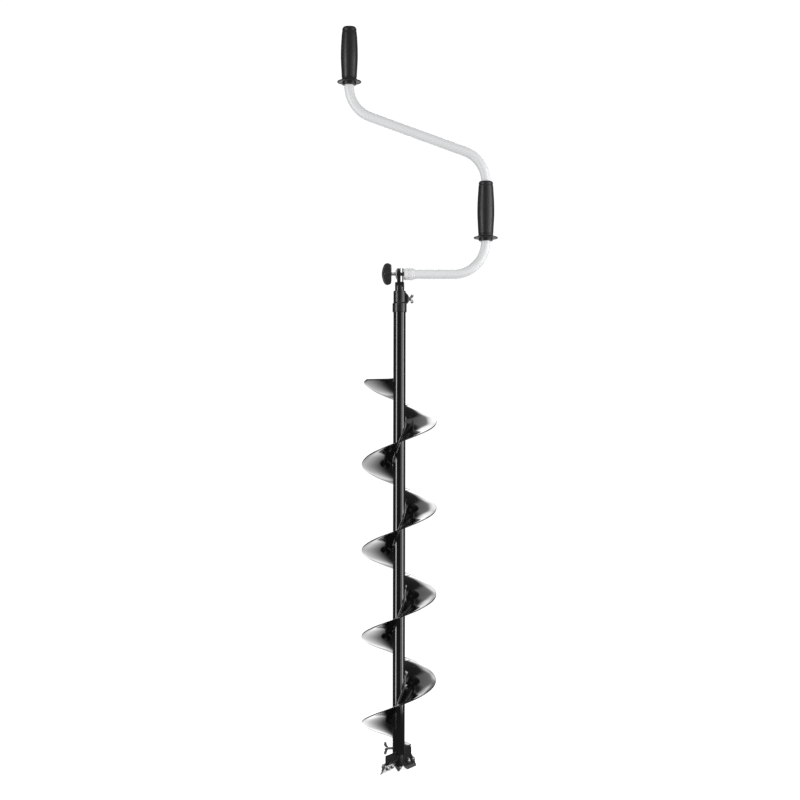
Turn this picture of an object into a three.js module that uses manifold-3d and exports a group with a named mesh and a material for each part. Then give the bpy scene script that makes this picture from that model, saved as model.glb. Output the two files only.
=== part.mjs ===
// Two-handed folding ice auger with a telescoping shaft.
//
// Millimetres, +Z up along the shaft, origin at the flat end of the pilot point.
// +X is the side that the crank handle bulges to. The screw is right-handed: seen from
// above, the auger cuts while it is turned clockwise.

import * as THREE from 'three';
import { mergeVertices } from 'three/addons/utils/BufferGeometryUtils.js';
import Module from 'manifold-3d';

const wasm = await Module();
wasm.setup();

// ---------------------------------------------------------------- driving dimensions

const GAP = 0.3;                  // clearance between neighbouring pieces
const WELD_GAP = 0.4;             // between the shaft and what is welded to it
const SLIDE_FIT = 0.35;           // between the sliding tube and the collar

// Screw
const TUBE_R = 12;
const TUBE_WALL = 1.5;
const TUBE_BOTTOM = 34;
const TUBE_TOP = 910.7;
const FLIGHT_R = 73;
const FLIGHT_THICKNESS = 2.2;
const PITCH = 167.8;
const FLIGHT_DATUM_Z = 178.2;     // height of the flight where it first crosses +X
const FLIGHT_START_DEG = -290;
const FLIGHT_END_DEG = 1255;
const FLIGHT_STEP_DEG = 7.5;
const FLIGHT_JOINT_DEG = 0.5;     // root gap of the butt weld between two turns
const FLIGHT_END_TRIM = 8;        // how far the rim is drawn in at the upper end
const FLIGHT_TRIM_DEG = 15;

// Wing screws
const SCREW_R = 3;
const WING_HUB = 7;
const WING_THICKNESS = 2.4;

// Telescope
const INNER_R = 9;
const INNER_WALL = 1.5;
const INNER_BOTTOM = 640;
const INNER_TOP = 938;
const GUIDE_LENGTH = 30;
const STOP_LENGTH = 9;
const STOP_PLUG_LENGTH = 14;
const COLLAR_BOTTOM = 894;
const COLLAR_TOP = 935.7;
const COLLAR_RING_R = 13.8;
const COLLAR_SCREW_Z = 920;
const BOSS_REACH = 18.3;          // from the shaft axis to the boss's outer face
const BOSS_WIDTH = 15;
const BOSS_LOW = -13;             // from the screw's axis to the foot of the boss
const BOSS_HIGH = 14.5;
const BOSS_FACE = 12;
const PAD_R = 2.6;
const PAD_LENGTH = 1.6;
const COLLAR_WING_SPAN = 24;
const COLLAR_WING_DEG = 52;

// Folding hinge; its axis is parallel to X
const HINGE_Z = 968.4;
const EAR_LEFT = [-5.2, 1.9];     // the two ears of the fork, along X
const EAR_RIGHT = [4.9, 7.4];
const EAR_HALF_WIDTH = 11;
const EAR_TOP_R = 12;
const EAR_ROOT = 14;              // from the sliding tube's end to the bottom of the slot
const FORK_SPIGOT = 22;
const BOLT_R = 4;
const BOLT_LEFT = -27;
const BOLT_RIGHT = 14.6;
const KNOB_LEFT = -35.2;
const KNOB_RIGHT = -15.9;
const KNOB_HALF_HEIGHT = 21.8;
const KNOB_THICKNESS = 11;
const KNOB_CROWN_X = -24;
const WASHER_R = 10.2;
const WASHER_HEIGHT = 2.4;
const LOCK_WASHER_R = 11;

// Handle
const HANDLE_R = 9.5;
const HANDLE_WALL = 1.8;
const FERRULE_R = 12;
const FERRULE_LEFT = 9;
const FERRULE_RIGHT = 27;
const FERRULE_STEP = 15;          // where the thread ends and the socket begins
const HANDLE_START = FERRULE_STEP + GAP;
const BEND_R = 63;
const BEND_STEP_DEG = 9;
const LOWER_GRIP_X = 167.5;
const UPPER_GRIP_X = -99;
const DIAGONAL_RISE = THREE.MathUtils.degToRad(19.9);
const DIAGONAL_Z = 1253.4;        // where the slanting arm crosses the shaft axis
const HANDLE_TOP = 1438.8;

// Grips
const LOWER_GRIP_LENGTH = 116;
const UPPER_GRIP_LENGTH = 111.8;
const LOWER_GRIP_Z = 1033;
const UPPER_GRIP_Z = 1336;
const GRIP_BORE_R = HANDLE_R + GAP;
const FLANGE_R = 23.7;
const GRIP_SIDES = 24;
const GRIP_ROOM_R = 11.2;         // room above the tube for the retaining screw's washer
const END_PLUG_LENGTH = 16;
const END_PLUG_BORE_R = 2.8;
const RETAINER_R = 10.6;

// Cutter head
const HEAD_BLADES_DEG = [70, 250];
const CORE_BOTTOM = 10;
const SPIGOT_TOP = 78;
const PILOT_R = 6.4;
const PILOT_STEM_R = 4;
const PILOT_STEM = 16;
const HEAD_SCREW_SHANK = 15;
const HEAD_SCREW_REACH = 8.5;     // from the tube to the wing screw's hub
const HEAD_WING_SPAN = 25;
const HEAD_SCREW_Z = 45;
const SEAT_TOP = 40;
const SEAT_R = 71;
const SEAT_THICKNESS = 3;
const BLADE_THICKNESS = 2.8;
const BLADE_R = 75;
const BLADE_INNER_R = 15;
const BLADE_SLOPE = THREE.MathUtils.degToRad(60);
const FLANGE_START_Z = 26;
const WEB_BOTTOM = 24;
const FLANGE_LENGTH = 20;
const BLADE_FROM = 3;             // down the slope, from the flange's upper edge
const BLADE_TO = 27;
const BLADE_SCREW_RADII = [30, 56];
const BLADE_SCREW_DOWN = 12;
const BEVEL_ANGLE = THREE.MathUtils.degToRad(20);
const BEVEL_WIDTH = 7;
const NUT_R = 5.6;
const NUT_HEIGHT = 4.6;
const SCREW_END = 8;              // above the middle of the seat's flange

// ---------------------------------------------------------------- materials

const paint = (color, roughness, metalness) =>
  new THREE.MeshStandardMaterial({ color, roughness, metalness });

const BLACK_PAINT = paint(0x141414, 0.22, 0.1);
const WHITE_PAINT = paint(0xd9dadb, 0.45, 0.0);
const ZINC = paint(0xb9bcc0, 0.35, 0.9);
const BLADE_STEEL = paint(0xd4d7da, 0.2, 1.0);
const BARE_STEEL = paint(0x9a9da1, 0.35, 1.0);
const GRIP_PLASTIC = paint(0x262626, 0.5, 0.0);
const KNOB_PLASTIC = paint(0x2c2c2c, 0.5, 0.0);
const NYLON = paint(0xe6e1d2, 0.55, 0.0);
const BRASS = paint(0xc2a35a, 0.35, 0.9);

// ---------------------------------------------------------------- geometry helpers

// Shares the vertices, drops faces with no area and turns the faces outwards.
function closed(geometry) {
  const source = geometry.clone();
  source.deleteAttribute('normal');
  source.deleteAttribute('uv');
  const shared = mergeVertices(source, 1e-4);
  const corners = shared.index.array;
  const place = shared.attributes.position;
  const [a, b, c] = [new THREE.Vector3(), new THREE.Vector3(), new THREE.Vector3()];
  const kept = [];
  let volume = 0;
  for (let i = 0; i < corners.length; i += 3) {
    const [p, q, r] = corners.slice(i, i + 3);
    if (p === q || q === r || r === p) continue;
    a.fromBufferAttribute(place, p);
    b.fromBufferAttribute(place, q);
    c.fromBufferAttribute(place, r);
    volume += a.dot(b.cross(c));
    kept.push([p, q, r]);
  }
  const faces = kept.map(([p, q, r]) => (volume < 0 ? [p, r, q] : [p, q, r]));
  const result = new THREE.BufferGeometry();
  result.setAttribute('position', place.clone());
  result.setIndex(faces.flat());
  return result;
}

function toSolid(geometry) {
  const shape = closed(geometry);
  return new wasm.Manifold(new wasm.Mesh({
    numProp: 3,
    vertProperties: new Float32Array(shape.attributes.position.array),
    triVerts: new Uint32Array(shape.index.array),
  }));
}

function toGeometry(solid) {
  const mesh = solid.getMesh();
  const geometry = new THREE.BufferGeometry();
  geometry.setAttribute('position', new THREE.BufferAttribute(mesh.vertProperties, 3));
  geometry.setIndex(new THREE.BufferAttribute(mesh.triVerts, 1));
  return geometry;
}

function join(...geometries) {
  return toGeometry(geometries.map(toSolid).reduce((all, next) => all.add(next)));
}

function cut(body, ...tools) {
  return toGeometry(tools.map(toSolid).reduce((rest, tool) => rest.subtract(tool), toSolid(body)));
}

// A body of revolution about Z; the profile is a list of [radius, height].
function turned(profile, sides = 32) {
  const points = profile.map(([radius, height]) => new THREE.Vector2(radius, height));
  return new THREE.LatheGeometry(points, sides).rotateX(Math.PI / 2);
}

// The same about X; the profile is a list of [radius, x].
function turnedAlongX(profile, sides = 32) {
  return turned(profile, sides).rotateY(Math.PI / 2);
}

function rod(radius, from, to, sides = 24) {
  return turned([[0, from], [radius, from], [radius, to], [0, to]], sides);
}

function rodAlongX(radius, from, to, sides = 24) {
  return rod(radius, from, to, sides).rotateY(Math.PI / 2);
}

// A ring or sleeve about Z.
function sleeve(inner, outer, from, to, sides = 32) {
  return turned([[inner, from], [outer, from], [outer, to], [inner, to], [inner, from]], sides);
}

// A flat plate whose outline is drawn in X and Z, with its thickness along Y.
function plateXZ(outline, yFrom, yTo, bevel = 0) {
  const depth = yTo - yFrom - 2 * bevel;
  const options = {
    depth,
    bevelEnabled: bevel > 0,
    bevelThickness: bevel,
    bevelSize: bevel,
    bevelOffset: -bevel,
    bevelSegments: 2,
    curveSegments: 8,
  };
  return new THREE.ExtrudeGeometry(outline, options)
    .rotateX(Math.PI / 2)
    .translate(0, yTo - bevel, 0);
}

const parts = new THREE.Group();

function add(name, geometry, material, parent = parts) {
  const mesh = new THREE.Mesh(closed(geometry), material);
  mesh.name = name;
  parent.add(mesh);
  return mesh;
}

// ---------------------------------------------------------------- screw

// The height of the flight's middle surface at an unwrapped angle in degrees.
const flightHeight = (degrees) => FLIGHT_DATUM_Z + PITCH * degrees / 360;

// One pressed piece of flight. A flat strip is wound round the tube: along the strip becomes
// the angle, across it the radius, and its thickness stays the same from root to rim.
function flightPiece(fromDeg, toDeg) {
  const root = TUBE_R + WELD_GAP;
  const sweep = toDeg - fromDeg;
  const steps = Math.round(sweep / FLIGHT_STEP_DEG);
  const strip = new THREE.BoxGeometry(sweep, 1, 1, steps, 1, 1);
  const place = strip.attributes.position;
  for (let i = 0; i < place.count; i += 1) {
    const degrees = (fromDeg + toDeg) / 2 + place.getX(i);
    const angle = THREE.MathUtils.degToRad(degrees);
    const toEnd = THREE.MathUtils.clamp((FLIGHT_END_DEG - degrees) / FLIGHT_TRIM_DEG, 0, 1);
    const rim = FLIGHT_R - FLIGHT_END_TRIM * (1 - toEnd) ** 2;
    const radius = THREE.MathUtils.lerp(root, rim, place.getY(i) + 0.5);
    const steepness = Math.hypot(1, PITCH / (2 * Math.PI * radius));
    const height = flightHeight(degrees) + place.getZ(i) * FLIGHT_THICKNESS * steepness;
    place.setXYZ(i, radius * Math.cos(angle), radius * Math.sin(angle), height);
  }
  return strip;
}

function addScrew() {
  const tube = sleeve(TUBE_R - TUBE_WALL, TUBE_R, TUBE_BOTTOM, TUBE_TOP, 40);
  const headScrewHole = rodAlongX(SCREW_R + GAP, -TUBE_R - 1, -TUBE_R / 2)
    .translate(0, 0, HEAD_SCREW_Z);
  add('main_tube', cut(tube, headScrewHole), BLACK_PAINT);
  let turn = 1;
  for (let from = FLIGHT_START_DEG; from < FLIGHT_END_DEG; from += 360) {
    const to = Math.min(from + 360 - FLIGHT_JOINT_DEG, FLIGHT_END_DEG);
    add(`flight_turn_${turn}`, flightPiece(from, to), BLACK_PAINT);
    turn += 1;
  }
}

// ---------------------------------------------------------------- wing screws

// A wing screw along +X: the shank ends at zero, the hub and its two wings lie beyond.
function wingScrew(radius, shank, span, angleDeg) {
  const body = turnedAlongX([
    [0, -shank], [radius, -shank], [radius, 0], [radius + 1.6, 0],
    [radius + 1.2, WING_HUB], [0, WING_HUB],
  ], 20);
  const ear = new THREE.Shape();
  const tip = span / 2;
  ear.moveTo(1, 0);
  ear.lineTo(WING_HUB - 1, 0);
  ear.quadraticCurveTo(WING_HUB + 2.5, tip * 0.55, WING_HUB + 1.5, tip * 0.85);
  ear.quadraticCurveTo(WING_HUB, tip * 1.02, WING_HUB - 3, tip * 0.95);
  ear.quadraticCurveTo(1.5, tip * 0.6, 1, 0);
  const upper = plateXZ(ear, -WING_THICKNESS / 2, WING_THICKNESS / 2);
  const lower = upper.clone().rotateX(Math.PI);
  return join(body, upper, lower).rotateX(THREE.MathUtils.degToRad(angleDeg));
}

// ---------------------------------------------------------------- telescope

function addCollar() {
  const inner = INNER_R + SLIDE_FIT;
  const socket = TUBE_R + GAP;
  const shoulder = TUBE_TOP + GAP;
  const body = turned([
    [socket, COLLAR_BOTTOM], [COLLAR_RING_R, COLLAR_BOTTOM], [COLLAR_RING_R, shoulder],
    [TUBE_R, shoulder + 1.5], [TUBE_R, COLLAR_TOP - 1], [TUBE_R - 1, COLLAR_TOP],
    [inner, COLLAR_TOP], [inner, shoulder], [socket, shoulder], [socket, COLLAR_BOTTOM],
  ], 40);
  const outline = new THREE.Shape();
  outline.moveTo(inner + 0.6, BOSS_LOW);
  outline.lineTo(BOSS_REACH, -BOSS_FACE / 2);
  outline.lineTo(BOSS_REACH, BOSS_FACE / 2);
  outline.lineTo(inner + 0.6, BOSS_HIGH);
  const boss = plateXZ(outline, -BOSS_WIDTH / 2, BOSS_WIDTH / 2).translate(0, 0, COLLAR_SCREW_Z);
  const bore = rod(inner, COLLAR_SCREW_Z - 20, COLLAR_SCREW_Z + 20, 40);
  const tubeRoom = rod(socket, COLLAR_SCREW_Z - 20, shoulder, 40);
  const thread = rodAlongX(SCREW_R + GAP, 0, BOSS_REACH + 1).translate(0, 0, COLLAR_SCREW_Z);
  add('clamp_collar', cut(join(body, boss), bore, tubeRoom, thread), BLACK_PAINT);
}

function addTelescope() {
  const bore = TUBE_R - TUBE_WALL;
  const guideTop = TUBE_TOP - GAP;
  add('guide_bush', sleeve(INNER_R + 0.3, bore - 0.25, guideTop - GUIDE_LENGTH, guideTop, 40),
    NYLON);
  add('inner_tube', sleeve(INNER_R - INNER_WALL, INNER_R, INNER_BOTTOM, INNER_TOP, 32),
    BLACK_PAINT);
  const plug = INNER_R - INNER_WALL - GAP;
  const foot = INNER_BOTTOM - GAP;
  add('inner_tube_stop', turned([
    [0, foot - STOP_LENGTH], [bore - GAP - 1, foot - STOP_LENGTH],
    [bore - GAP, foot - STOP_LENGTH + 1], [bore - GAP, foot], [plug, foot],
    [plug, foot + STOP_PLUG_LENGTH], [0, foot + STOP_PLUG_LENGTH],
  ], 32), NYLON);
  addCollar();
  const padInner = INNER_R + SLIDE_FIT;
  add('collar_pressure_pad', rodAlongX(PAD_R, padInner, padInner + PAD_LENGTH, 16)
    .translate(0, 0, COLLAR_SCREW_Z), BRASS);
  const shank = BOSS_REACH - padInner - PAD_LENGTH - GAP;
  add('collar_wing_screw', wingScrew(SCREW_R, shank, COLLAR_WING_SPAN, COLLAR_WING_DEG)
    .translate(BOSS_REACH + GAP, 0, COLLAR_SCREW_Z), ZINC);
}

// ---------------------------------------------------------------- folding hinge

function addFork() {
  const base = INNER_TOP + GAP;
  const spigot = INNER_R - INNER_WALL - GAP;
  const shaft = turned([
    [0, base - FORK_SPIGOT], [spigot, base - FORK_SPIGOT], [spigot, base], [INNER_R, base],
    [INNER_R, base + EAR_ROOT - 1], [0, base + EAR_ROOT - 1],
  ], 32);
  const outline = new THREE.Shape();
  outline.moveTo(-7, base + 5);
  outline.lineTo(7, base + 5);
  outline.quadraticCurveTo(EAR_HALF_WIDTH, base + 9, EAR_HALF_WIDTH, base + 15);
  const reach = Math.acos(EAR_HALF_WIDTH / EAR_TOP_R);
  outline.absarc(0, HINGE_Z, EAR_TOP_R, reach, Math.PI - reach, false);
  outline.lineTo(-EAR_HALF_WIDTH, base + 15);
  outline.quadraticCurveTo(-EAR_HALF_WIDTH, base + 9, -7, base + 5);
  const ears = plateXZ(outline, EAR_LEFT[0], EAR_RIGHT[1]).rotateZ(-Math.PI / 2);
  const slotDepth = 40;
  const slot = new THREE.BoxGeometry(EAR_RIGHT[0] - EAR_LEFT[1], slotDepth, slotDepth)
    .translate((EAR_RIGHT[0] + EAR_LEFT[1]) / 2, 0, base + EAR_ROOT + slotDepth / 2);
  const pin = rodAlongX(BOLT_R + GAP, -20, 20).translate(0, 0, HINGE_Z);
  add('hinge_fork', cut(join(shaft, ears), slot, pin), BLACK_PAINT);
}

function addHingeBolt() {
  const outline = new THREE.Shape();
  const top = KNOB_HALF_HEIGHT;
  outline.moveTo(KNOB_RIGHT, -15);
  outline.lineTo(KNOB_RIGHT, 15);
  outline.bezierCurveTo(KNOB_RIGHT, 20, -18, top, KNOB_CROWN_X, top);
  outline.bezierCurveTo(-31.5, top, KNOB_LEFT, 13, KNOB_LEFT, 0);
  outline.bezierCurveTo(KNOB_LEFT, -13, -31.5, -top, KNOB_CROWN_X, -top);
  outline.bezierCurveTo(-18, -top, KNOB_RIGHT, -20, KNOB_RIGHT, -15);
  const paddle = plateXZ(outline, -KNOB_THICKNESS / 2, KNOB_THICKNESS / 2, 2.5);
  const socket = rodAlongX(BOLT_R + GAP, BOLT_LEFT - GAP, 0);
  add('hinge_wing_knob', cut(paddle, socket).translate(0, 0, HINGE_Z), KNOB_PLASTIC);
  add('hinge_bolt', turnedAlongX([
    [0, BOLT_LEFT], [BOLT_R, BOLT_LEFT], [BOLT_R, BOLT_RIGHT - 1], [BOLT_R - 1, BOLT_RIGHT],
    [0, BOLT_RIGHT],
  ], 24).translate(0, 0, HINGE_Z), ZINC);
  const face = EAR_LEFT[0] - GAP;
  const bore = BOLT_R + GAP;
  add('hinge_cup_washer', turnedAlongX([
    [bore, face], [WASHER_R, face], [WASHER_R, face - 1], [WASHER_R - 4, face - WASHER_HEIGHT],
    [bore, face - WASHER_HEIGHT], [bore, face],
  ], 32).translate(0, 0, HINGE_Z), ZINC);
  const lock = sleeve(bore, LOCK_WASHER_R, EAR_RIGHT[1] + GAP, FERRULE_LEFT - GAP, 32);
  add('hinge_lock_washer', lock.rotateY(Math.PI / 2).translate(0, 0, HINGE_Z), ZINC);
}

// ---------------------------------------------------------------- handle

// The centre line of the bent tube: straight runs joined by arcs of one radius, all in the
// XZ plane. The curve is walked by stations, one for a straight run and one for every
// few degrees of an arc, so its parameter isn't its length.
class BentTube extends THREE.Curve {
  constructor(corners, radius, stepDeg) {
    super();
    this.stations = [{ point: corners[0], heading: this.aim(corners[0], corners[1]) }];
    for (let i = 1; i < corners.length - 1; i += 1) {
      this.addArc(corners[i], corners[i + 1], radius, THREE.MathUtils.degToRad(stepDeg));
    }
    const last = corners[corners.length - 1];
    this.stations.push({ point: last, heading: this.heading() });
  }

  aim(from, to) {
    return Math.atan2(to.z - from.z, to.x - from.x);
  }

  heading() {
    return this.stations[this.stations.length - 1].heading;
  }

  addArc(corner, next, radius, step) {
    const start = this.heading();
    const turn = this.aim(corner, next) - start;
    const side = Math.sign(turn);
    const tangent = radius * Math.tan(Math.abs(turn) / 2);
    const begin = new THREE.Vector3(Math.cos(start), 0, Math.sin(start))
      .multiplyScalar(-tangent).add(corner);
    const centre = new THREE.Vector3(-Math.sin(start), 0, Math.cos(start))
      .multiplyScalar(side * radius).add(begin);
    const steps = Math.ceil(Math.abs(turn) / step);
    for (let i = 0; i <= steps; i += 1) {
      const heading = start + turn * i / steps;
      const point = new THREE.Vector3(Math.sin(heading), 0, -Math.cos(heading))
        .multiplyScalar(side * radius).add(centre);
      this.stations.push({ point, heading });
    }
  }

  getPointAt(t) {
    return this.stations[Math.round(t * (this.stations.length - 1))].point.clone();
  }

  getTangentAt(t) {
    const { heading } = this.stations[Math.round(t * (this.stations.length - 1))];
    return new THREE.Vector3(Math.cos(heading), 0, Math.sin(heading));
  }
}

function addHandleTube() {
  const slope = Math.tan(DIAGONAL_RISE);
  const at = (x, z) => new THREE.Vector3(x, 0, z);
  const path = new BentTube([
    at(HANDLE_START, HINGE_Z),
    at(LOWER_GRIP_X, HINGE_Z),
    at(LOWER_GRIP_X, DIAGONAL_Z - LOWER_GRIP_X * slope),
    at(UPPER_GRIP_X, DIAGONAL_Z - UPPER_GRIP_X * slope),
    at(UPPER_GRIP_X, HANDLE_TOP),
  ], BEND_R, BEND_STEP_DEG);
  const section = new THREE.Shape().absarc(0, 0, HANDLE_R, 0, 2 * Math.PI, false);
  section.holes.push(new THREE.Path().absarc(0, 0, HANDLE_R - HANDLE_WALL, 0, 2 * Math.PI, true));
  const steps = path.stations.length - 1;
  const options = { steps, curveSegments: 8, extrudePath: path };
  add('handle_tube', new THREE.ExtrudeGeometry(section, options), WHITE_PAINT);
}

function addFerrule() {
  const bore = BOLT_R + GAP;
  const socket = HANDLE_R + GAP;
  add('handle_ferrule', turnedAlongX([
    [bore, FERRULE_LEFT], [FERRULE_R - 0.8, FERRULE_LEFT], [FERRULE_R, FERRULE_LEFT + 0.8],
    [FERRULE_R, FERRULE_RIGHT - 2], [FERRULE_R - 1.2, FERRULE_RIGHT], [socket, FERRULE_RIGHT],
    [socket, FERRULE_STEP], [bore, FERRULE_STEP], [bore, FERRULE_LEFT],
  ], 32).translate(0, 0, HINGE_Z), WHITE_PAINT);
}

// ---------------------------------------------------------------- grips

// The outside of a grip, from its lower collar over the hand guard to below the upper rim.
function gripOutline(length) {
  return [
    [GRIP_BORE_R, 0], [13.0, 0], [13.6, 1], [13.6, 6.2], [20.5, 6.4], [FLANGE_R - 0.8, 5.0],
    [FLANGE_R, 5.8], [FLANGE_R - 0.6, 7.8], [21, 8.8], [14.8, 9.8], [14.6, 16], [15.4, 29],
    [16.3, 46], [16.5, 60], [16, 78], [14.9, 96], [13.9, length - 6.5],
  ];
}

function addLowerGrip() {
  const rim = LOWER_GRIP_LENGTH;
  const profile = [
    ...gripOutline(rim), [13.2, rim - 1.6], [11.8, rim], [GRIP_BORE_R, rim], [GRIP_BORE_R, 0],
  ];
  const grip = turned(profile, GRIP_SIDES).translate(LOWER_GRIP_X, 0, LOWER_GRIP_Z);
  add('lower_grip', grip, GRIP_PLASTIC);
}

function addUpperGrip() {
  const rim = UPPER_GRIP_LENGTH;
  const floor = HANDLE_TOP - UPPER_GRIP_Z - 2 * GAP;
  const profile = [
    ...gripOutline(rim), [13.6, rim - 2], [12.9, rim - 0.4], [12.2, rim], [GRIP_ROOM_R, rim],
    [GRIP_ROOM_R, floor], [GRIP_BORE_R, floor], [GRIP_BORE_R, 0],
  ];
  const grip = turned(profile, GRIP_SIDES).translate(UPPER_GRIP_X, 0, UPPER_GRIP_Z);
  add('upper_grip', grip, GRIP_PLASTIC);
  const lip = UPPER_GRIP_Z + rim + GAP;
  const cap = turned([
    [0, lip - 3], [GRIP_ROOM_R - GAP, lip - 3], [GRIP_ROOM_R - GAP, lip], [12, lip], [11, lip + 1.1],
    [6.5, lip + 2.2], [0, lip + 2.6],
  ]).translate(UPPER_GRIP_X, 0, 0);
  add('upper_grip_cap', cap, GRIP_PLASTIC);
  const plugR = HANDLE_R - HANDLE_WALL - GAP;
  const plug = sleeve(END_PLUG_BORE_R, plugR, HANDLE_TOP - END_PLUG_LENGTH, HANDLE_TOP, 20);
  add('handle_end_plug', plug.translate(UPPER_GRIP_X, 0, 0), BARE_STEEL);
  const head = HANDLE_TOP + GAP;
  add('grip_retaining_screw', turned([
    [0, head - 14], [2.5, head - 14], [2.5, head], [RETAINER_R, head], [RETAINER_R, head + 1.2],
    [4.4, head + 1.2], [4.4, head + 3.6], [3.6, head + 4.4], [0, head + 4.4],
  ], 20).translate(UPPER_GRIP_X, 0, 0), ZINC);
}

// ---------------------------------------------------------------- cutter head

function addHeadCore() {
  const spigot = TUBE_R - TUBE_WALL - GAP;
  const shoulder = TUBE_BOTTOM - GAP;
  const core = turned([
    [0, CORE_BOTTOM], [9, CORE_BOTTOM], [TUBE_R - 0.2, CORE_BOTTOM + 4], [TUBE_R - 0.2, shoulder],
    [spigot, shoulder], [spigot, SPIGOT_TOP - 2], [spigot - 1.5, SPIGOT_TOP], [0, SPIGOT_TOP],
  ], 32);
  const screwHole = rodAlongX(SCREW_R + GAP, -TUBE_R, -3).translate(0, 0, HEAD_SCREW_Z);
  const pilotHole = rod(PILOT_STEM_R + GAP, CORE_BOTTOM - 1, CORE_BOTTOM + PILOT_STEM + GAP);
  add('head_core', cut(core, screwHole, pilotHole), BLACK_PAINT);
  add('pilot_point', turned([
    [0, 0], [1.6, 0], [2.1, 0.7], [PILOT_R, PILOT_R + 1], [PILOT_R, CORE_BOTTOM - GAP],
    [PILOT_STEM_R, CORE_BOTTOM - GAP], [PILOT_STEM_R, CORE_BOTTOM + PILOT_STEM],
    [0, CORE_BOTTOM + PILOT_STEM],
  ], 24), BARE_STEEL);
  const wings = wingScrew(SCREW_R, HEAD_SCREW_SHANK, HEAD_WING_SPAN, 0).rotateZ(Math.PI);
  add('head_wing_screw', wings.translate(-TUBE_R - HEAD_SCREW_REACH, 0, HEAD_SCREW_Z), ZINC);
}

// Turns a plate that lies in X and Y, upper side up, into the slope of the cutting edge:
// its -Y side leads and is the lower one.
function sloped(geometry, lift) {
  return geometry.translate(0, 0, lift).rotateX(BLADE_SLOPE).translate(0, 0, FLANGE_START_Z);
}

function flatPlate(outline, thickness) {
  return new THREE.ExtrudeGeometry(outline, {
    depth: thickness, bevelEnabled: false, curveSegments: 10,
  });
}

function screwHoles(radius) {
  return BLADE_SCREW_RADII.map((r) =>
    sloped(rod(radius, -20, 20, 16).translate(r, -BLADE_SCREW_DOWN, 0), 0));
}

function bladeSeat() {
  const web = new THREE.Shape();
  web.moveTo(6, SEAT_TOP);
  web.lineTo(SEAT_R - 2, SEAT_TOP);
  web.quadraticCurveTo(SEAT_R, SEAT_TOP, SEAT_R, SEAT_TOP - 2);
  web.lineTo(SEAT_R, WEB_BOTTOM + 2);
  web.quadraticCurveTo(SEAT_R, WEB_BOTTOM, SEAT_R - 2, WEB_BOTTOM);
  web.lineTo(6, WEB_BOTTOM);
  const upright = plateXZ(web, -SEAT_THICKNESS / 2, SEAT_THICKNESS / 2);
  const ledge = new THREE.Shape();
  ledge.moveTo(8, 1.2);
  ledge.lineTo(SEAT_R - 1, 1.2);
  ledge.lineTo(SEAT_R - 1, -FLANGE_LENGTH + 8);
  ledge.quadraticCurveTo(SEAT_R - 1, -FLANGE_LENGTH, SEAT_R - 9, -FLANGE_LENGTH);
  ledge.lineTo(8, -FLANGE_LENGTH);
  const flange = sloped(flatPlate(ledge, SEAT_THICKNESS), -SEAT_THICKNESS / 2);
  const room = rod(TUBE_R + WELD_GAP, -10, SEAT_TOP + 10, 40);
  return cut(join(upright, flange), room, ...screwHoles(SCREW_R + GAP));
}

// The blade lies against the seat's underside. It is a flat plate with a bevel ground on its
// rear face along the leading edge, and its outer corner rounded.
function blade() {
  const outline = new THREE.Shape();
  outline.moveTo(BLADE_INNER_R, -BLADE_FROM);
  outline.lineTo(BLADE_R - 4, -BLADE_FROM);
  outline.quadraticCurveTo(BLADE_R, -BLADE_FROM, BLADE_R, -BLADE_FROM - 4);
  outline.lineTo(BLADE_R, -BLADE_TO + 8);
  outline.quadraticCurveTo(BLADE_R - 1, -BLADE_TO + 1, BLADE_R - 10, -BLADE_TO);
  outline.lineTo(BLADE_INNER_R + 5, -BLADE_TO);
  outline.lineTo(BLADE_INNER_R, -BLADE_TO + 5);
  const plate = flatPlate(outline, BLADE_THICKNESS);
  const grind = new THREE.BoxGeometry(2 * BLADE_R, 20, 10)
    .translate(BLADE_R, -10, -5)
    .rotateX(-BEVEL_ANGLE)
    .translate(0, -BLADE_TO + BEVEL_WIDTH, 0);
  const lift = -SEAT_THICKNESS / 2 - GAP - BLADE_THICKNESS;
  return cut(sloped(cut(plate, grind), lift), ...screwHoles(SCREW_R + GAP));
}

// A round-headed screw from below through the blade and its seat, and the nut on top.
function bladeScrew() {
  const under = -SEAT_THICKNESS / 2 - GAP - BLADE_THICKNESS - GAP;
  return turned([
    [0, under - 3.2], [3.6, under - 2.8], [5.2, under - 1.4], [5.4, under], [SCREW_R, under],
    [SCREW_R, SCREW_END], [0, SCREW_END],
  ], 16);
}

function bladeNut() {
  const foot = SEAT_THICKNESS / 2 + GAP;
  const top = foot + NUT_HEIGHT;
  const hexagon = turned([[0, foot], [NUT_R, foot], [NUT_R, top], [0, top]], 6);
  return cut(hexagon, rod(SCREW_R + GAP, foot - 10, foot + 10, 16));
}

function addBlade(letter, degrees) {
  const group = new THREE.Group();
  group.rotation.z = THREE.MathUtils.degToRad(degrees);
  parts.add(group);
  add(`blade_seat_${letter}`, bladeSeat(), BLACK_PAINT, group);
  add(`blade_${letter}`, blade(), BLADE_STEEL, group);
  BLADE_SCREW_RADII.forEach((r, index) => {
    const place = (geometry) => sloped(geometry.translate(r, -BLADE_SCREW_DOWN, 0), 0);
    add(`blade_screw_${letter}${index + 1}`, place(bladeScrew()), ZINC, group);
    add(`blade_nut_${letter}${index + 1}`, place(bladeNut()), ZINC, group);
  });
}

// ---------------------------------------------------------------- assembly

addScrew();
addTelescope();
addFork();
addHingeBolt();
addFerrule();
addHandleTube();
addLowerGrip();
addUpperGrip();
addHeadCore();
HEAD_BLADES_DEG.forEach((degrees, index) => addBlade('ab'[index], degrees));

export default parts;
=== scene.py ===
import math

import bmesh
import bpy
from mathutils import Matrix, Vector, noise


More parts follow.
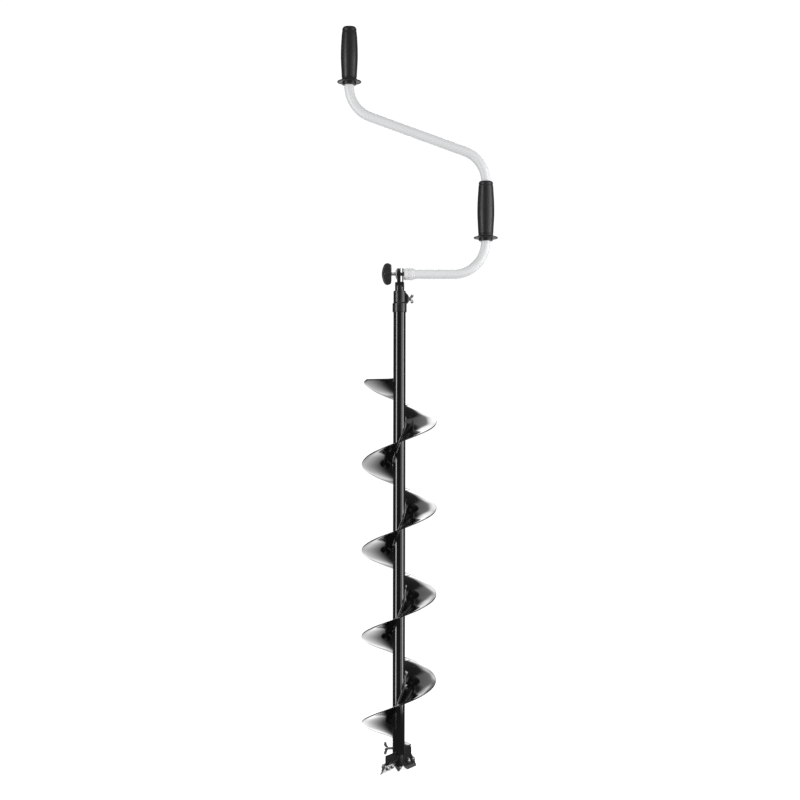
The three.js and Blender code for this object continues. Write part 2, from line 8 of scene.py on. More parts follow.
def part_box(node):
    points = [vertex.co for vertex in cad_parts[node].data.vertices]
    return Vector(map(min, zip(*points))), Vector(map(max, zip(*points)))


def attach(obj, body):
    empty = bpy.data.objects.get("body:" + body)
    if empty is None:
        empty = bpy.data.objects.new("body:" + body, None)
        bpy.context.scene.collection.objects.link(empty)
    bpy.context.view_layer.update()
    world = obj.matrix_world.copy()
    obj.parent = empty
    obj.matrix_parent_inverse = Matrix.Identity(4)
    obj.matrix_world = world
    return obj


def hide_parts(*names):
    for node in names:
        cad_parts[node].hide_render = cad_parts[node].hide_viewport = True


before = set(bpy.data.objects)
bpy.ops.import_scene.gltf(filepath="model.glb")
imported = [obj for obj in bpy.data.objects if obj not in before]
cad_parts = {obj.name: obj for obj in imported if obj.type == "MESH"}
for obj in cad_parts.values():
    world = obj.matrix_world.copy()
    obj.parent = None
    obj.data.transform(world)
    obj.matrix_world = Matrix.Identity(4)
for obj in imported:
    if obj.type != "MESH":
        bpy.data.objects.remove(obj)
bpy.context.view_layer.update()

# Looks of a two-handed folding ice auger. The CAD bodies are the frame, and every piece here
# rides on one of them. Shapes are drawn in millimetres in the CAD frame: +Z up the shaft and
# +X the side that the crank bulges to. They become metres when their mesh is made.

MM = 0.001
AXIS_X = Matrix.Rotation(math.pi / 2, 4, "Y")  # lays what points up along +X
UPRIGHT = Matrix.Rotation(math.pi / 2, 4, "X")  # stands a plate's Y side up
HALF_TURN = Matrix.Rotation(math.pi, 4, "Z")

# ---- sizes, from the frame where it has them


class Span:
    """The box of one CAD node at rest, in millimetres."""

    def __init__(self, node):
        low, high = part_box(node)
        self.low = low / MM
        self.high = high / MM
        self.middle = (self.low + self.high) / 2
        self.size = self.high - self.low


MAIN_TUBE = Span("main_tube")
TUBE_R = MAIN_TUBE.size.x / 2
TUBE_WALL = 1.5
SECOND_TURN = Span("flight_turn_2")
PITCH = Span("flight_turn_3").low.z - SECOND_TURN.low.z
RIM_R = SECOND_TURN.high.x
FLIGHT_THICKNESS = 2.2
FLIGHT_START = -290.0  # degrees, unwrapped, seen from above
FLIGHT_END = 1255.0
FLIGHT_DATUM_Z = 178.2  # where the flight first crosses +X
RIM_TRIM = 8.0  # the rim is drawn in at the upper end
RIM_TRIM_DEGREES = 15.0

COLLAR = Span("clamp_collar")
COLLAR_SCREW = Span("collar_wing_screw")
INNER_TUBE = Span("inner_tube")
INNER_R = INNER_TUBE.size.x / 2
FORK = Span("hinge_fork")
BOLT = Span("hinge_bolt")
BOLT_R = BOLT.size.y / 2
HINGE_Z = BOLT.middle.z
EAR_LEFT = (-5.2, 1.9)  # the fork's ears, from face to face
EAR_RIGHT = (4.9, 7.4)
EAR_HALF_WIDTH = 11.0
EAR_CROWN_R = 12.0
KNOB = Span("hinge_wing_knob")
CUP_WASHER = Span("hinge_cup_washer")
LOCK_WASHER = Span("hinge_lock_washer")
FERRULE = Span("handle_ferrule")
HANDLE = Span("handle_tube")
HANDLE_R = HANDLE.size.y / 2
HANDLE_WALL = 1.8
BEND_R = 63.0
SLOPE = math.radians(19.9)  # rise of the slanting arm
DIAGONAL_Z = 1253.4  # where its line crosses the shaft's axis
FERRULE_STEP = 6.0  # the tube's seat inside the ferrule
LOWER_GRIP = Span("lower_grip")
UPPER_GRIP = Span("upper_grip")
GRIP_CAP = Span("upper_grip_cap")
GRIP_SIDES = 200
LOWER_RIM_R = 12.2
UPPER_RIM_R = 12.7
UPPER_ROOM_R = 11.2  # the upper grip's hollow over the tube's end
CORE = Span("head_core")
PILOT = Span("pilot_point")
HEAD_SCREW_Z = Span("head_wing_screw").middle.z
BLADE_ANGLES = {"a": 70.0, "b": 250.0}
BLADE_SLOPE = math.radians(60)
SEAT_START_Z = 26.0  # where the sloping ledge leaves the upright web
SEAT_THICKNESS = 3.0
SEAT_R = 71.0
SEAT_TOP = 40.0
WEB_ROOT = 12.3  # from the axis to where web and ledge meet the hub
LEDGE_ROOT = 12.6
LEDGE_TOP = 1.2  # across the ledge, along its slope, as for the blade below
LEDGE_BOTTOM = -20.0
BLADE_THICKNESS = 2.8
BLADE_INNER = 15.0
BLADE_OUTER = 74.9
BLADE_BACK = -3.0
BLADE_FRONT = -27.0
BEVEL = (20, 7.0)  # slope in degrees and width of the ground bevel
LIP = (38, 0.9)  # and of the honed lip
BLADE_SCREW_RADII = (30.0, 56.0)
BLADE_SCREW_DOWN = 12.0
SCREW_R = 3.0  # the wing screws and the blades' screws
SCREW_HOLE_R = 3.3
WING_HUB = 7.0
COLLAR_SHANK = 7.0
COLLAR_WING_SPAN = 24.0
COLLAR_WING_TURN = math.radians(52)
HEAD_SHANK = 15.0
HEAD_WING_SPAN = 25.0
HEAD_HUB_OFF_TUBE = 8.5
GAP = 0.3

# ---- floor, camera and light

FLOOR_R = 9000.0
FLOOR_LIGHT = 0.56
CAMERA_PLACE = (0.0016, -3.505, 0.548)  # in metres
CAMERA_ROLL = math.radians(-0.128)
CAMERA_LENS = 81.0
CAMERA_SHIFT = 0.1125
CAMERA_WHITE = 1.05  # what the camera sees behind the object
AMBIENT_LIGHT = 0.58  # what lights matt surfaces
AMBIENT_TO_RIGHT = 0.15
AMBIENT_TO_TOP = 0.12
DARK_LIGHT = 0.10  # strengths of the studio's parts in reflections
BACKDROP_LIGHT = 5.0
OVERHEAD_LIGHT = 1.0
GROUND_LIGHT = 3.4
STRIP_SIDES = (0.14, 0.28)  # headings between which each part fades in or out
BACKDROP_EDGE = (0.60, 0.72)
BACKDROP_FOOT = (0.15, 0.35)
BACKDROP_UNDER_FOOT = 0.12
OVERHEAD_EDGE = (0.62, 0.76)
GROUND_REACH = (-0.05, 1.1)
GROUND_SIDES = (0.1, 0.8)
GROUND_EDGE = (-0.5, -0.3)
SOFTBOX_DISTANCE = 1.15  # metres from the shaft
SOFTBOX_HEIGHT = 1.75

# ---- lines


def rounded(corners, steps=5, closed=False):
    """A line through corners (x, y) or (x, y, radius), turned smoothly at the radii."""
    line = []
    count = len(corners)
    for index, corner in enumerate(corners):
        here = Vector(corner[:2])
        radius = corner[2] if len(corner) > 2 else 0
        at_end = not closed and index in (0, count - 1)
        if not radius or at_end:
            line.append(here)
            continue
        before = Vector(corners[index - 1][:2]) - here
        after = Vector(corners[(index + 1) % count][:2]) - here
        half = before.angle(after) / 2
        reach = radius / math.tan(half)
        reach = min(reach, before.length * 0.49, after.length * 0.49)
        start = here + before.normalized() * reach
        end = here + after.normalized() * reach
        for step in range(steps + 1):
            t = step / steps
            line.append(start * (1 - t) ** 2 + here * 2 * t * (1 - t) + end * t * t)
    return line


def spline(points, steps=8):
    """A smooth line through points, by Catmull and Rom's rule."""
    points = [Vector(point) for point in points]
    ends = [2 * points[0] - points[1]] + points + [2 * points[-1] - points[-2]]
    line = []
    for a, b, c, d in zip(ends, ends[1:], ends[2:], ends[3:]):
        for step in range(steps):
            t = step / steps
            line.append(0.5 * (2 * b + (c - a) * t + (2 * a - 5 * b + 4 * c - d) * t * t
                               + (3 * b - a - 3 * c + d) * t ** 3))
    return line + [points[-1]]


# ---- shapes


def polar(radius, angle, height):
    return Vector((radius * math.cos(angle), radius * math.sin(angle), height))


class Shape:
    """Points in millimetres and the faces between them."""

    def __init__(self):
        self.points = []
        self.faces = []

    def add(self, other):
        first = len(self.points)
        self.points += other.points
        self.faces += [tuple(first + corner for corner in face) for face in other.faces]
        return self

    def moved(self, matrix):
        self.points = [matrix @ point for point in self.points]
        return self

    def at(self, x=0.0, y=0.0, z=0.0):
        return self.moved(Matrix.Translation((x, y, z)))


def loft(rings, joined=False):
    """A skin over closed rings of equal length, capped unless the last joins the first."""
    shape = Shape()
    sides = len(rings[0])
    for ring in rings:
        shape.points += [Vector(point) for point in ring]
    for index in range(len(rings) if joined else len(rings) - 1):
        near = index * sides
        far = (index + 1) % len(rings) * sides
        for side in range(sides):
            turn = (side + 1) % sides
            shape.faces.append((near + side, near + turn, far + turn, far + side))
    if not joined:
        shape.faces.append(tuple(range(sides)))
        shape.faces.append(tuple(range((len(rings) - 1) * sides, len(rings) * sides)))
    return shape


def circle(radius, height, sides, bump=None):
    """A ring about Z; bump gives what is added to the radius at an angle."""
    ring = []
    for side in range(sides):
        angle = 2 * math.pi * side / sides
        reach = radius + (bump(angle) if bump and radius else 0)
        ring.append(polar(reach, angle, height))
    return ring


def lathe(profile, sides=64, hollow=False, bump=None):
    """A body of revolution about Z from a line of (radius, height)."""
    return loft([circle(r, z, sides, bump) for r, z in profile], joined=hollow)


def turned(corners, sides, steps=5, hollow=False):
    """A body of revolution whose corners (radius, height, rounding) are rounded."""
    return lathe(rounded(corners, steps, closed=hollow), sides, hollow)


def rod(radius, low, high, sides=32):
    """A plain round bar about Z; six sides make a hexagon."""
    return lathe([(0, low), (radius, low), (radius, high), (0, high)], sides)


def rectangle(left, right, near, far):
    return [Vector(corner) for corner in ((left, near), (right, near), (right, far), (left, far))]


def plate(outline, low, high, edge=0.0, steps=3):
    """A plate in X and Y between two heights, with its edges rounded."""
    rings = []
    for step in range(steps + 1):
        angle = math.pi / 2 * step / steps
        inset = edge * (1 - math.sin(angle))
        rings.append((inset, low + edge * (1 - math.cos(angle))))
    rings += [(inset, low + high - height) for inset, height in reversed(rings)]
    return loft([[Vector((p.x, p.y, height)) for p in inwards(outline, inset)]
                 for inset, height in rings])


def inwards(outline, distance):
    """An outline drawn in by a distance, corner by corner."""
    if distance < 1e-6:
        return list(outline)
    area = sum(a.x * b.y - b.x * a.y for a, b in zip(outline, outline[1:] + outline[:1]))
    side = 1 if area > 0 else -1
    moved = []
    for index, here in enumerate(outline):
        before = (here - outline[index - 1]).normalized()
        after = (outline[(index + 1) % len(outline)] - here).normalized()
        normal = Vector((-before.y - after.y, before.x + after.x)) * side
        spread = max(normal.length / 2, 0.3)
        moved.append(here + normal.normalized() * distance / spread)
    return moved


def thread(radius, low, high, pitch, sides=32):
    """A threaded rod along Z, with a chamfer at each end."""
    depth = 0.61 * pitch
    rows = int((high - low) / pitch * 8)
    rings = []
    for row in range(rows + 1):
        z = low + (high - low) * row / rows
        from_end = min(z - low, high - z)
        limit = radius - max(0.0, depth - from_end)
        ring = []
        for side in range(sides):
            turn = side / sides
            phase = (z / pitch - turn) % 1.0
            crest = radius - depth * min(1.0, 1.25 * abs(2 * phase - 1))
            ring.append(polar(min(crest, limit), 2 * math.pi * turn, z))
        rings.append(ring)
    return loft(rings)


# ---- meshes


def solid(shape, name="working"):
    """A Blender mesh of a shape, in metres, with its faces turned outwards."""
    mesh = bpy.data.meshes.new(name)
    mesh.from_pydata([point * MM for point in shape.points], [], shape.faces)
    cleaner = bmesh.new()
    cleaner.from_mesh(mesh)
    bmesh.ops.remove_doubles(cleaner, verts=cleaner.verts, dist=1e-7)
    bmesh.ops.recalc_face_normals(cleaner, faces=cleaner.faces)
    cleaner.to_mesh(mesh)
    cleaner.free()
    obj = bpy.data.objects.new(name, mesh)
    bpy.context.scene.collection.objects.link(obj)
    return obj


def apply_modifiers(obj):
    graph = bpy.context.evaluated_depsgraph_get()
    mesh = bpy.data.meshes.new_from_object(obj.evaluated_get(graph))
    obj.modifiers.clear()
    obj.data = mesh
    return obj


def combine(obj, shapes, operation):
    """Joins shapes to a mesh, or cuts them out of it."""
    for shape in shapes:
        tool = solid(shape)
        modifier = obj.modifiers.new(operation, "BOOLEAN")
        modifier.operation = operation
        modifier.solver = "EXACT"
        modifier.object = tool
        apply_modifiers(obj)
        bpy.data.objects.remove(tool)
    return obj


def cut(obj, *shapes):
    return combine(obj, shapes, "DIFFERENCE")


def join(obj, *shapes):
    return combine(obj, shapes, "UNION")


def cast(obj, grain, passes):
    """Melts a mesh into one skin with soft edges and fillets, as a casting has."""
    remesh = obj.modifiers.new("remesh", "REMESH")
    remesh.mode = "VOXEL"
    remesh.voxel_size = grain * MM
    soften = obj.modifiers.new("soften", "SMOOTH")
    soften.factor = 0.5
    soften.iterations = passes
    return apply_modifiers(obj)


def join_plain(first, second):
    """One mesh holding two solids that touch."""
    merged = bmesh.new()
    merged.from_mesh(first.data)
    merged.from_mesh(second.data)
    merged.to_mesh(first.data)
    merged.free()
    bpy.data.objects.remove(second)
    return first


def transformed(obj, matrix):
    """Turns a mesh about the frame's origin; the matrix is in millimetres."""
    shift = Matrix.Translation(matrix.to_translation() * MM)
    obj.data.transform(shift @ matrix.to_3x3().to_4x4())
    return obj


def bevelled(obj, width, steps=2, angle=30):
    bevel = obj.modifiers.new("bevel", "BEVEL")
    bevel.width = width * MM
    bevel.segments = steps
    bevel.limit_method = "ANGLE"
    bevel.angle_limit = math.radians(angle)
    bevel.use_clamp_overlap = True
    return apply_modifiers(obj)


def finish_piece(name, obj, body, look, replaces=(), crease=38):
    """Names a mesh, gives it its look and lets it ride on its body."""
    material, slot = look
    obj.name = name
    obj.data.name = name
    obj.data.materials.clear()
    obj.data.materials.append(material)
    obj.data.polygons.foreach_set("use_smooth", [True] * len(obj.data.polygons))
    obj.data.set_sharp_from_angle(angle=math.radians(crease))
    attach(obj, body)
    if replaces:
        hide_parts(*replaces)
    return obj


# ---- materials


class Nodes:
    """Short calls for the nodes of a material or of the world."""

    def __init__(self, tree):
        self.tree = tree

    def node(self, kind, links=(), **settings):
        made = self.tree.nodes.new(kind)
        for setting, value in settings.items():
            setattr(made, setting, value)
        for socket, source in links:
            self.set(made.inputs[socket], source)
        return made

    def set(self, socket, source):
        if isinstance(source, bpy.types.NodeSocket):
            self.tree.links.new(source, socket)
        else:
            socket.default_value = source

    def range(self, value, low, high, start, end, **settings):
        links = [("Value", value), ("From Min", low), ("From Max", high), ("To Min", start),
                 ("To Max", end)]
        return self.node("ShaderNodeMapRange", links, **settings).outputs["Result"]

    def math(self, operation, first, second=0.0):
        links = [(0, first), (1, second)]
        return self.node("ShaderNodeMath", links, operation=operation).outputs[0]


class Finish(Nodes):
    """A material around one Principled shader."""

    def __init__(self, name, **sockets):
        self.material = bpy.data.materials.new(name)
        self.material.use_nodes = True
        super().__init__(self.material.node_tree)
        self.shader = self.tree.nodes["Principled BSDF"]
        self.place = self.tree.nodes.new("ShaderNodeTexCoord").outputs["Object"]
        for socket, value in sockets.items():
            self.shader.inputs[socket.replace("_", " ")].default_value = value

    def stretched(self, scale):
        """Object coordinates, in metres, scaled differently along each axis."""
        return self.node("ShaderNodeMapping", [("Vector", self.place), ("Scale", scale)]).outputs[0]

    def noise(self, scale, detail=3.0, roughness=0.5, place=None):
        links = [("Vector", place or self.place), ("Scale", scale), ("Detail", detail),
                 ("Roughness", roughness)]
        return self.node("ShaderNodeTexNoise", links).outputs["Fac"]

    def cells(self, scale, feature="F1"):
        links = [("Vector", self.place), ("Scale", scale)]
        return self.node("ShaderNodeTexVoronoi", links, feature=feature).outputs["Distance"]

    def edges(self, low, high):
        """From 0 on flat ground to 1 on a sharp outer edge."""
        pointed = self.tree.nodes.new("ShaderNodeNewGeometry").outputs["Pointiness"]
        return self.range(pointed, low, high, 0, 1)

    def blend(self, factor, first, second):
        """A colour between two, by a factor from 0 to 1."""
        made = self.node("ShaderNodeMix", data_type="RGBA")
        self.set(made.inputs["Factor"], factor)
        for socket, value in zip((made.inputs[6], made.inputs[7]), (first, second)):
            self.set(socket, value if isinstance(value, bpy.types.NodeSocket) else (*value, 1))
        return made.outputs[2]

    def colour(self, source):
        self.set(self.shader.inputs["Base Color"], source)

    def roughness(self, source):
        self.set(self.shader.inputs["Roughness"], source)

    def relief(self, *layers):
        """Bump layers of (height, depth in metres), the coarsest first."""
        normal = None
        for height, depth in layers:
            bump = self.node("ShaderNodeBump", [("Height", height), ("Distance", depth),
                                                ("Strength", 1.0)])
            if normal:
                self.tree.links.new(normal, bump.inputs["Normal"])
            normal = bump.outputs["Normal"]
        self.tree.links.new(normal, self.shader.inputs["Normal"])


def gloss_paint():
    """Black stoving enamel on steel: orange peel, fine dust, thin on sharp edges."""
    paint = Finish("gloss_black_paint", IOR=1.58)
    patches = paint.noise(14, 4, 0.6)
    dust = paint.range(paint.noise(900, 2, 0.6), 0.66, 0.78, 0, 1)
    wear = paint.math("MULTIPLY", paint.edges(0.56, 0.66), paint.noise(260, 5, 0.7))
    tone = paint.blend(patches, (0.0018, 0.0018, 0.002), (0.0035, 0.0035, 0.0038))
    dusty = paint.blend(paint.math("MULTIPLY", dust, 0.25), tone, (0.03, 0.03, 0.029))
    paint.colour(paint.blend(wear, dusty, (0.05, 0.05, 0.05)))
    paint.roughness(paint.range(paint.noise(40, 5, 0.7), 0.3, 0.75, 0.07, 0.13))
    paint.relief((paint.noise(22, 2), 0.00004), (paint.noise(420, 2, 0.4), 0.000004))
    return paint.material


def cast_paint():
    """The same black over a sand casting: a pebbled skin under the paint."""
    paint = Finish("cast_black_paint", IOR=1.5)
    wear = paint.math("MULTIPLY", paint.edges(0.54, 0.62), paint.noise(300, 5, 0.7))
    tone = paint.blend(paint.noise(60, 4, 0.6), (0.003, 0.003, 0.0032), (0.007, 0.007, 0.0075))
    paint.colour(paint.blend(wear, tone, (0.05, 0.05, 0.049)))
    paint.roughness(paint.range(paint.noise(150, 4, 0.6), 0.3, 0.75, 0.22, 0.42))
    paint.relief((paint.noise(260, 3, 0.5), 0.00012), (paint.noise(900, 2, 0.5), 0.00004))
    return paint.material


def powder_coat():
    """Light grey powder coat: a fine even texture with soft gloss."""
    paint = Finish("light_powder_coat", IOR=1.5)
    tone = paint.blend(paint.noise(9, 5, 0.6), (0.455, 0.46, 0.465), (0.50, 0.505, 0.51))
    scuffs = paint.range(paint.noise(1.0, 6, 0.75, paint.stretched((60, 60, 300))), 0.62, 0.8, 0, 0.3)
    specks = paint.range(paint.noise(1100, 2, 0.5), 0.72, 0.8, 0, 0.35)
    marked = paint.blend(scuffs, tone, (0.38, 0.38, 0.38))
    paint.colour(paint.blend(specks, marked, (0.30, 0.30, 0.30)))
    paint.roughness(paint.range(paint.noise(120, 4, 0.6), 0.3, 0.7, 0.34, 0.46))
    paint.relief((paint.noise(650, 2, 0.45), 0.00003), (paint.cells(1500), 0.000008))
    return paint.material


def zinc_plate():
    """Zinc-plated steel: bluish blotches, a little dull in places."""
    metal = Finish("zinc_plate", Metallic=1.0)
    blotch = metal.noise(170, 4, 0.65)
    tone = metal.blend(blotch, (0.50, 0.51, 0.53), (0.68, 0.68, 0.67))
    stain = metal.range(metal.noise(60, 5, 0.7), 0.55, 0.8, 0, 0.5)
    metal.colour(metal.blend(stain, tone, (0.38, 0.37, 0.35)))
    metal.roughness(metal.range(metal.noise(300, 4, 0.6), 0.3, 0.7, 0.24, 0.42))
    metal.relief((metal.noise(1400, 3, 0.6), 0.000015),)
    return metal.material


def ground_steel():
    """Blade steel, ground across the blade; the mapped coordinates follow the blade."""
    metal = Finish("ground_blade_steel", Metallic=1.0)
    across = metal.tree.nodes.new("ShaderNodeUVMap").outputs["UV"]
    stroke = metal.node("ShaderNodeMapping", [("Vector", across), ("Scale", (9.0, 0.25, 1.0))])
    lines = metal.noise(1.0, 4, 0.7, stroke.outputs[0])
    film = metal.noise(70, 4, 0.6)
    tone = metal.blend(lines, (0.56, 0.57, 0.59), (0.80, 0.80, 0.81))
    metal.colour(metal.blend(metal.range(film, 0.55, 0.8, 0, 0.4), tone, (0.52, 0.49, 0.44)))
    metal.roughness(metal.range(lines, 0.25, 0.75, 0.12, 0.30))
    metal.relief((lines, 0.00001),)
    return metal.material


def turned_steel():
    """Bare turned steel with fine tool rings about the shaft axis."""
    metal = Finish("turned_steel", Metallic=1.0)
    rings = metal.noise(1.0, 2, 0.5, metal.stretched((30, 30, 2600)))
    tone = metal.blend(metal.noise(240, 4, 0.6), (0.34, 0.335, 0.33), (0.52, 0.52, 0.52))
    stain = metal.range(metal.noise(120, 5, 0.7), 0.56, 0.8, 0, 0.55)
    metal.colour(metal.blend(stain, tone, (0.20, 0.16, 0.13)))
    metal.roughness(metal.range(rings, 0.3, 0.7, 0.26, 0.46))
    metal.relief((rings, 0.00002),)
    return metal.material


def moulded_plastic(name, dark, light, rough, grain):
    """Moulded plastic: a spark-eroded grain, a few shiny rubs and pale edges."""
    plastic = Finish(name, IOR=1.49, Specular_IOR_Level=0.36)
    tone = plastic.blend(plastic.noise(35, 4, 0.6), dark, light)
    edge = plastic.math("MULTIPLY", plastic.edges(0.53, 0.60), 0.35)
    plastic.colour(plastic.blend(edge, tone, [3 * channel for channel in light]))
    rubs = plastic.noise(28, 5, 0.7)
    plastic.roughness(plastic.range(rubs, 0.3, 0.75, rough + 0.06, rough - 0.08))
    plastic.relief((plastic.noise(grain, 2, 0.5), 0.00005), (plastic.cells(1.7 * grain), 0.00003))
    return plastic.material


def nylon():
    plastic = Finish("natural_nylon", IOR=1.53, Subsurface_Weight=0.15, Subsurface_Scale=0.002)
    plastic.colour(plastic.blend(plastic.noise(80, 3), (0.70, 0.67, 0.58), (0.80, 0.78, 0.70)))
    plastic.roughness(plastic.range(plastic.noise(300, 3), 0.3, 0.7, 0.42, 0.58))
    plastic.relief((plastic.noise(900, 2), 0.00002),)
    return plastic.material


def brass():
    metal = Finish("turned_brass", Metallic=1.0)
    metal.colour(metal.blend(metal.noise(300, 4), (0.66, 0.47, 0.19), (0.80, 0.62, 0.30)))
    metal.roughness(metal.range(metal.noise(700, 3), 0.3, 0.7, 0.24, 0.40))
    metal.relief((metal.noise(1.0, 2, 0.5, metal.stretched((4000, 60, 60))), 0.00001),)
    return metal.material


# What a new piece wears: a material and the slot of the CAD material that it stands for.
BLACK = (gloss_paint(), "black_paint")
CAST_BLACK = (cast_paint(), "black_paint")
LIGHT = (powder_coat(), "white_paint")
ZINC = (zinc_plate(), "zinc")
GROUND = (ground_steel(), "blade_steel")
TURNED = (turned_steel(), "bare_steel")
GRIP_PLASTIC = (moulded_plastic("grip_plastic", (0.007, 0.007, 0.0073), (0.012, 0.012, 0.0125),
                                0.42, 700), "grip_plastic")
KNOB_PLASTIC = (moulded_plastic("knob_plastic", (0.010, 0.010, 0.0105), (0.017, 0.017, 0.0175),
                                0.40, 900), "knob_plastic")
# Better materials for nodes that keep their CAD shape.
NYLON = nylon()
BRASS = brass()

# ---- screw


def flight_height(degrees):
    return FLIGHT_DATUM_Z + PITCH * degrees / 360


def rim_radius(degrees):
    to_end = min(max((FLIGHT_END - degrees) / RIM_TRIM_DEGREES, 0.0), 1.0)
    waver = 0.25 * noise.noise(Vector((degrees / 40, 3.1, 0.0)))
    return RIM_R - 0.3 - RIM_TRIM * (1 - to_end) ** 2 + waver


def flight_normal(degrees, radius):
    """The unit normal of the flight's upper face."""
    angle = math.radians(degrees)
    slope = PITCH / (2 * math.pi * radius)
    return Vector((slope * math.sin(angle), -slope * math.cos(angle), 1)).normalized()


def on_flight(degrees, radius, above):
    """A point at a distance from the flight's middle surface, along its normal."""
    point = polar(radius, math.radians(degrees), flight_height(degrees))
    return point + flight_normal(degrees, radius) * above


def flight_section(degrees):
    """The flight's section at an angle: out along the top, round the rim and back below."""
    root = TUBE_R - 0.1
    rim = rim_radius(degrees)
    half = FLIGHT_THICKNESS / 2
    edge = 0.8
    stations = [root + (rim - edge - root) * (step / 10) ** 1.3 for step in range(11)]
    outline = [(radius, half) for radius in stations]
    for step in range(1, 6):
        angle = math.pi / 2 - math.pi * step / 6
        outline.append((rim - edge + edge * math.cos(angle), half * math.sin(angle)))
    outline += [(radius, -half) for radius in reversed(stations)]
    section = []
    for radius, above in outline:
        free = (radius - root) / (rim - root)
        wave = 0.5 * free * noise.noise(Vector((degrees / 26, radius / 30, 7.7)))
        steepness = math.hypot(1, PITCH / (2 * math.pi * radius))
        height = flight_height(degrees) + above * steepness + wave
        section.append(polar(radius, math.radians(degrees), height))
    return section


def steps_between(first, last, step):
    count = max(1, round((last - first) / step))
    return [first + (last - first) * index / count for index in range(count + 1)]


def weld_section(degrees, side):
    """The weld's section in the corner between the flight's root and the tube."""
    ripple = 0.5 + 0.5 * math.cos(math.radians(degrees * 75))
    uneven = noise.noise(Vector((degrees / 9, side, 2.0)))
    leg = 2.3 + 0.18 * ripple + 0.35 * uneven
    outline = [(-0.4, -0.5), (-0.3, leg), (0.38 * leg, 0.86 * leg), (0.72 * leg, 0.55 * leg),
               (leg, 0.15), (leg, -0.5)]
    half = FLIGHT_THICKNESS / 2
    return [on_flight(degrees, TUBE_R + out, side * (half + up)) for out, up in outline]


def seam_sections(degrees, side):
    """The ground butt weld between two turns, from the root out to the rim."""
    sections = []
    for radius in steps_between(TUBE_R + 1, RIM_R - 1.2, 0.8):
        ripple = 0.08 * math.cos(radius * 2.6)
        section = []
        for step in range(7):
            across = -1 + step / 3
            rise = FLIGHT_THICKNESS / 2 - 0.25 + (0.55 + ripple) * (1 - across * across)
            swing = math.degrees(2.2 * across / radius)
            section.append(on_flight(degrees + swing, radius, side * rise))
        section.append(on_flight(degrees, radius, side * 0.4))
        sections.append(section)
    return sections


def add_flights():
    start = FLIGHT_START
    for number in range(1, 6):
        end = min(start + 360, FLIGHT_END)
        angles = steps_between(start, end, 3.0)
        turn = loft([flight_section(degrees) for degrees in angles])
        finish_piece(f"flight_{number}", solid(turn), "auger", BLACK,
                     [f"flight_turn_{number}"], crease=50)
        welds = Shape()
        for side in (1, -1):
            welds.add(loft([weld_section(d, side) for d in steps_between(start + 2, end - 2, 1.2)]))
        finish_piece(f"flight_weld_{number}", solid(welds), "auger", BLACK, crease=60)
        if end < FLIGHT_END:
            seams = Shape()
            for side in (1, -1):
                seams.add(loft(seam_sections(end, side)))
            finish_piece(f"flight_seam_{number}", solid(seams), "auger", BLACK)
        start = end


def add_main_tube():
    low = MAIN_TUBE.low.z
    high = MAIN_TUBE.high.z
    inner = TUBE_R - TUBE_WALL
    by_hole = 12.0
    tube = solid(turned([
        (inner, low, 0.3), (TUBE_R, low, 0.4), (TUBE_R, HEAD_SCREW_Z - by_hole),
        (TUBE_R, HEAD_SCREW_Z + by_hole), (TUBE_R, high, 0.5), (inner, high, 0.4),
    ], 128, 3, hollow=True))
    hole = rod(SCREW_HOLE_R, 0, TUBE_R + 2).moved(AXIS_X).moved(HALF_TURN)
    cut(tube, hole.at(z=HEAD_SCREW_Z))
    finish_piece("outer_tube", tube, "auger", BLACK, ["main_tube"])


# ---- wing screws


def wing_screw(shank, span):
    """A wing screw along +X whose hub starts at zero, with its wings in X and Z."""
    body = turned([
        (0, 0.0), (SCREW_R + 1.7, 0.0, 0.5), (SCREW_R + 1.9, WING_HUB * 0.5, 1.0),
        (SCREW_R + 0.9, WING_HUB, 1.2), (0, WING_HUB + 0.3),
    ], 48).moved(AXIS_X)
    tip = span / 2
    ear = spline([
        (WING_HUB - 1.0, 0.0), (WING_HUB - 0.6, tip * 0.25), (WING_HUB + 1.4, tip * 0.6),
        (WING_HUB + 1.2, tip * 0.86), (WING_HUB - 0.6, tip), (WING_HUB - 3.6, tip * 0.95),
        (2.6, tip * 0.72), (1.2, tip * 0.35), (1.0, 0.0),
    ], 5)
    both_ears = ear + [Vector((p.x, -p.y)) for p in reversed(ear[1:-1])]
    wings = plate(both_ears, -1.3, 1.3, 0.8).moved(UPRIGHT)
    screw = cast(join(solid(body), wings), 0.3, 3)
    stem = thread(SCREW_R, -shank, 0.8, 1.0, 28).moved(AXIS_X)
    return join_plain(screw, solid(stem))


def add_wing_screws():
    clamp = wing_screw(COLLAR_SHANK, COLLAR_WING_SPAN)
    place = Matrix.Translation((COLLAR.high.x + GAP, 0, COLLAR_SCREW.middle.z))
    turn = Matrix.Rotation(COLLAR_WING_TURN, 4, "X")
    finish_piece("collar_thumbscrew", transformed(clamp, place @ turn), "collar_screw", ZINC,
                 ["collar_wing_screw"])
    head = wing_screw(HEAD_SHANK, HEAD_WING_SPAN)
    place = Matrix.Translation((-TUBE_R - HEAD_HUB_OFF_TUBE, 0, HEAD_SCREW_Z)) @ HALF_TURN
    finish_piece("head_thumbscrew", transformed(head, place), "head_screw", ZINC,
                 ["head_wing_screw"])


# ---- telescope


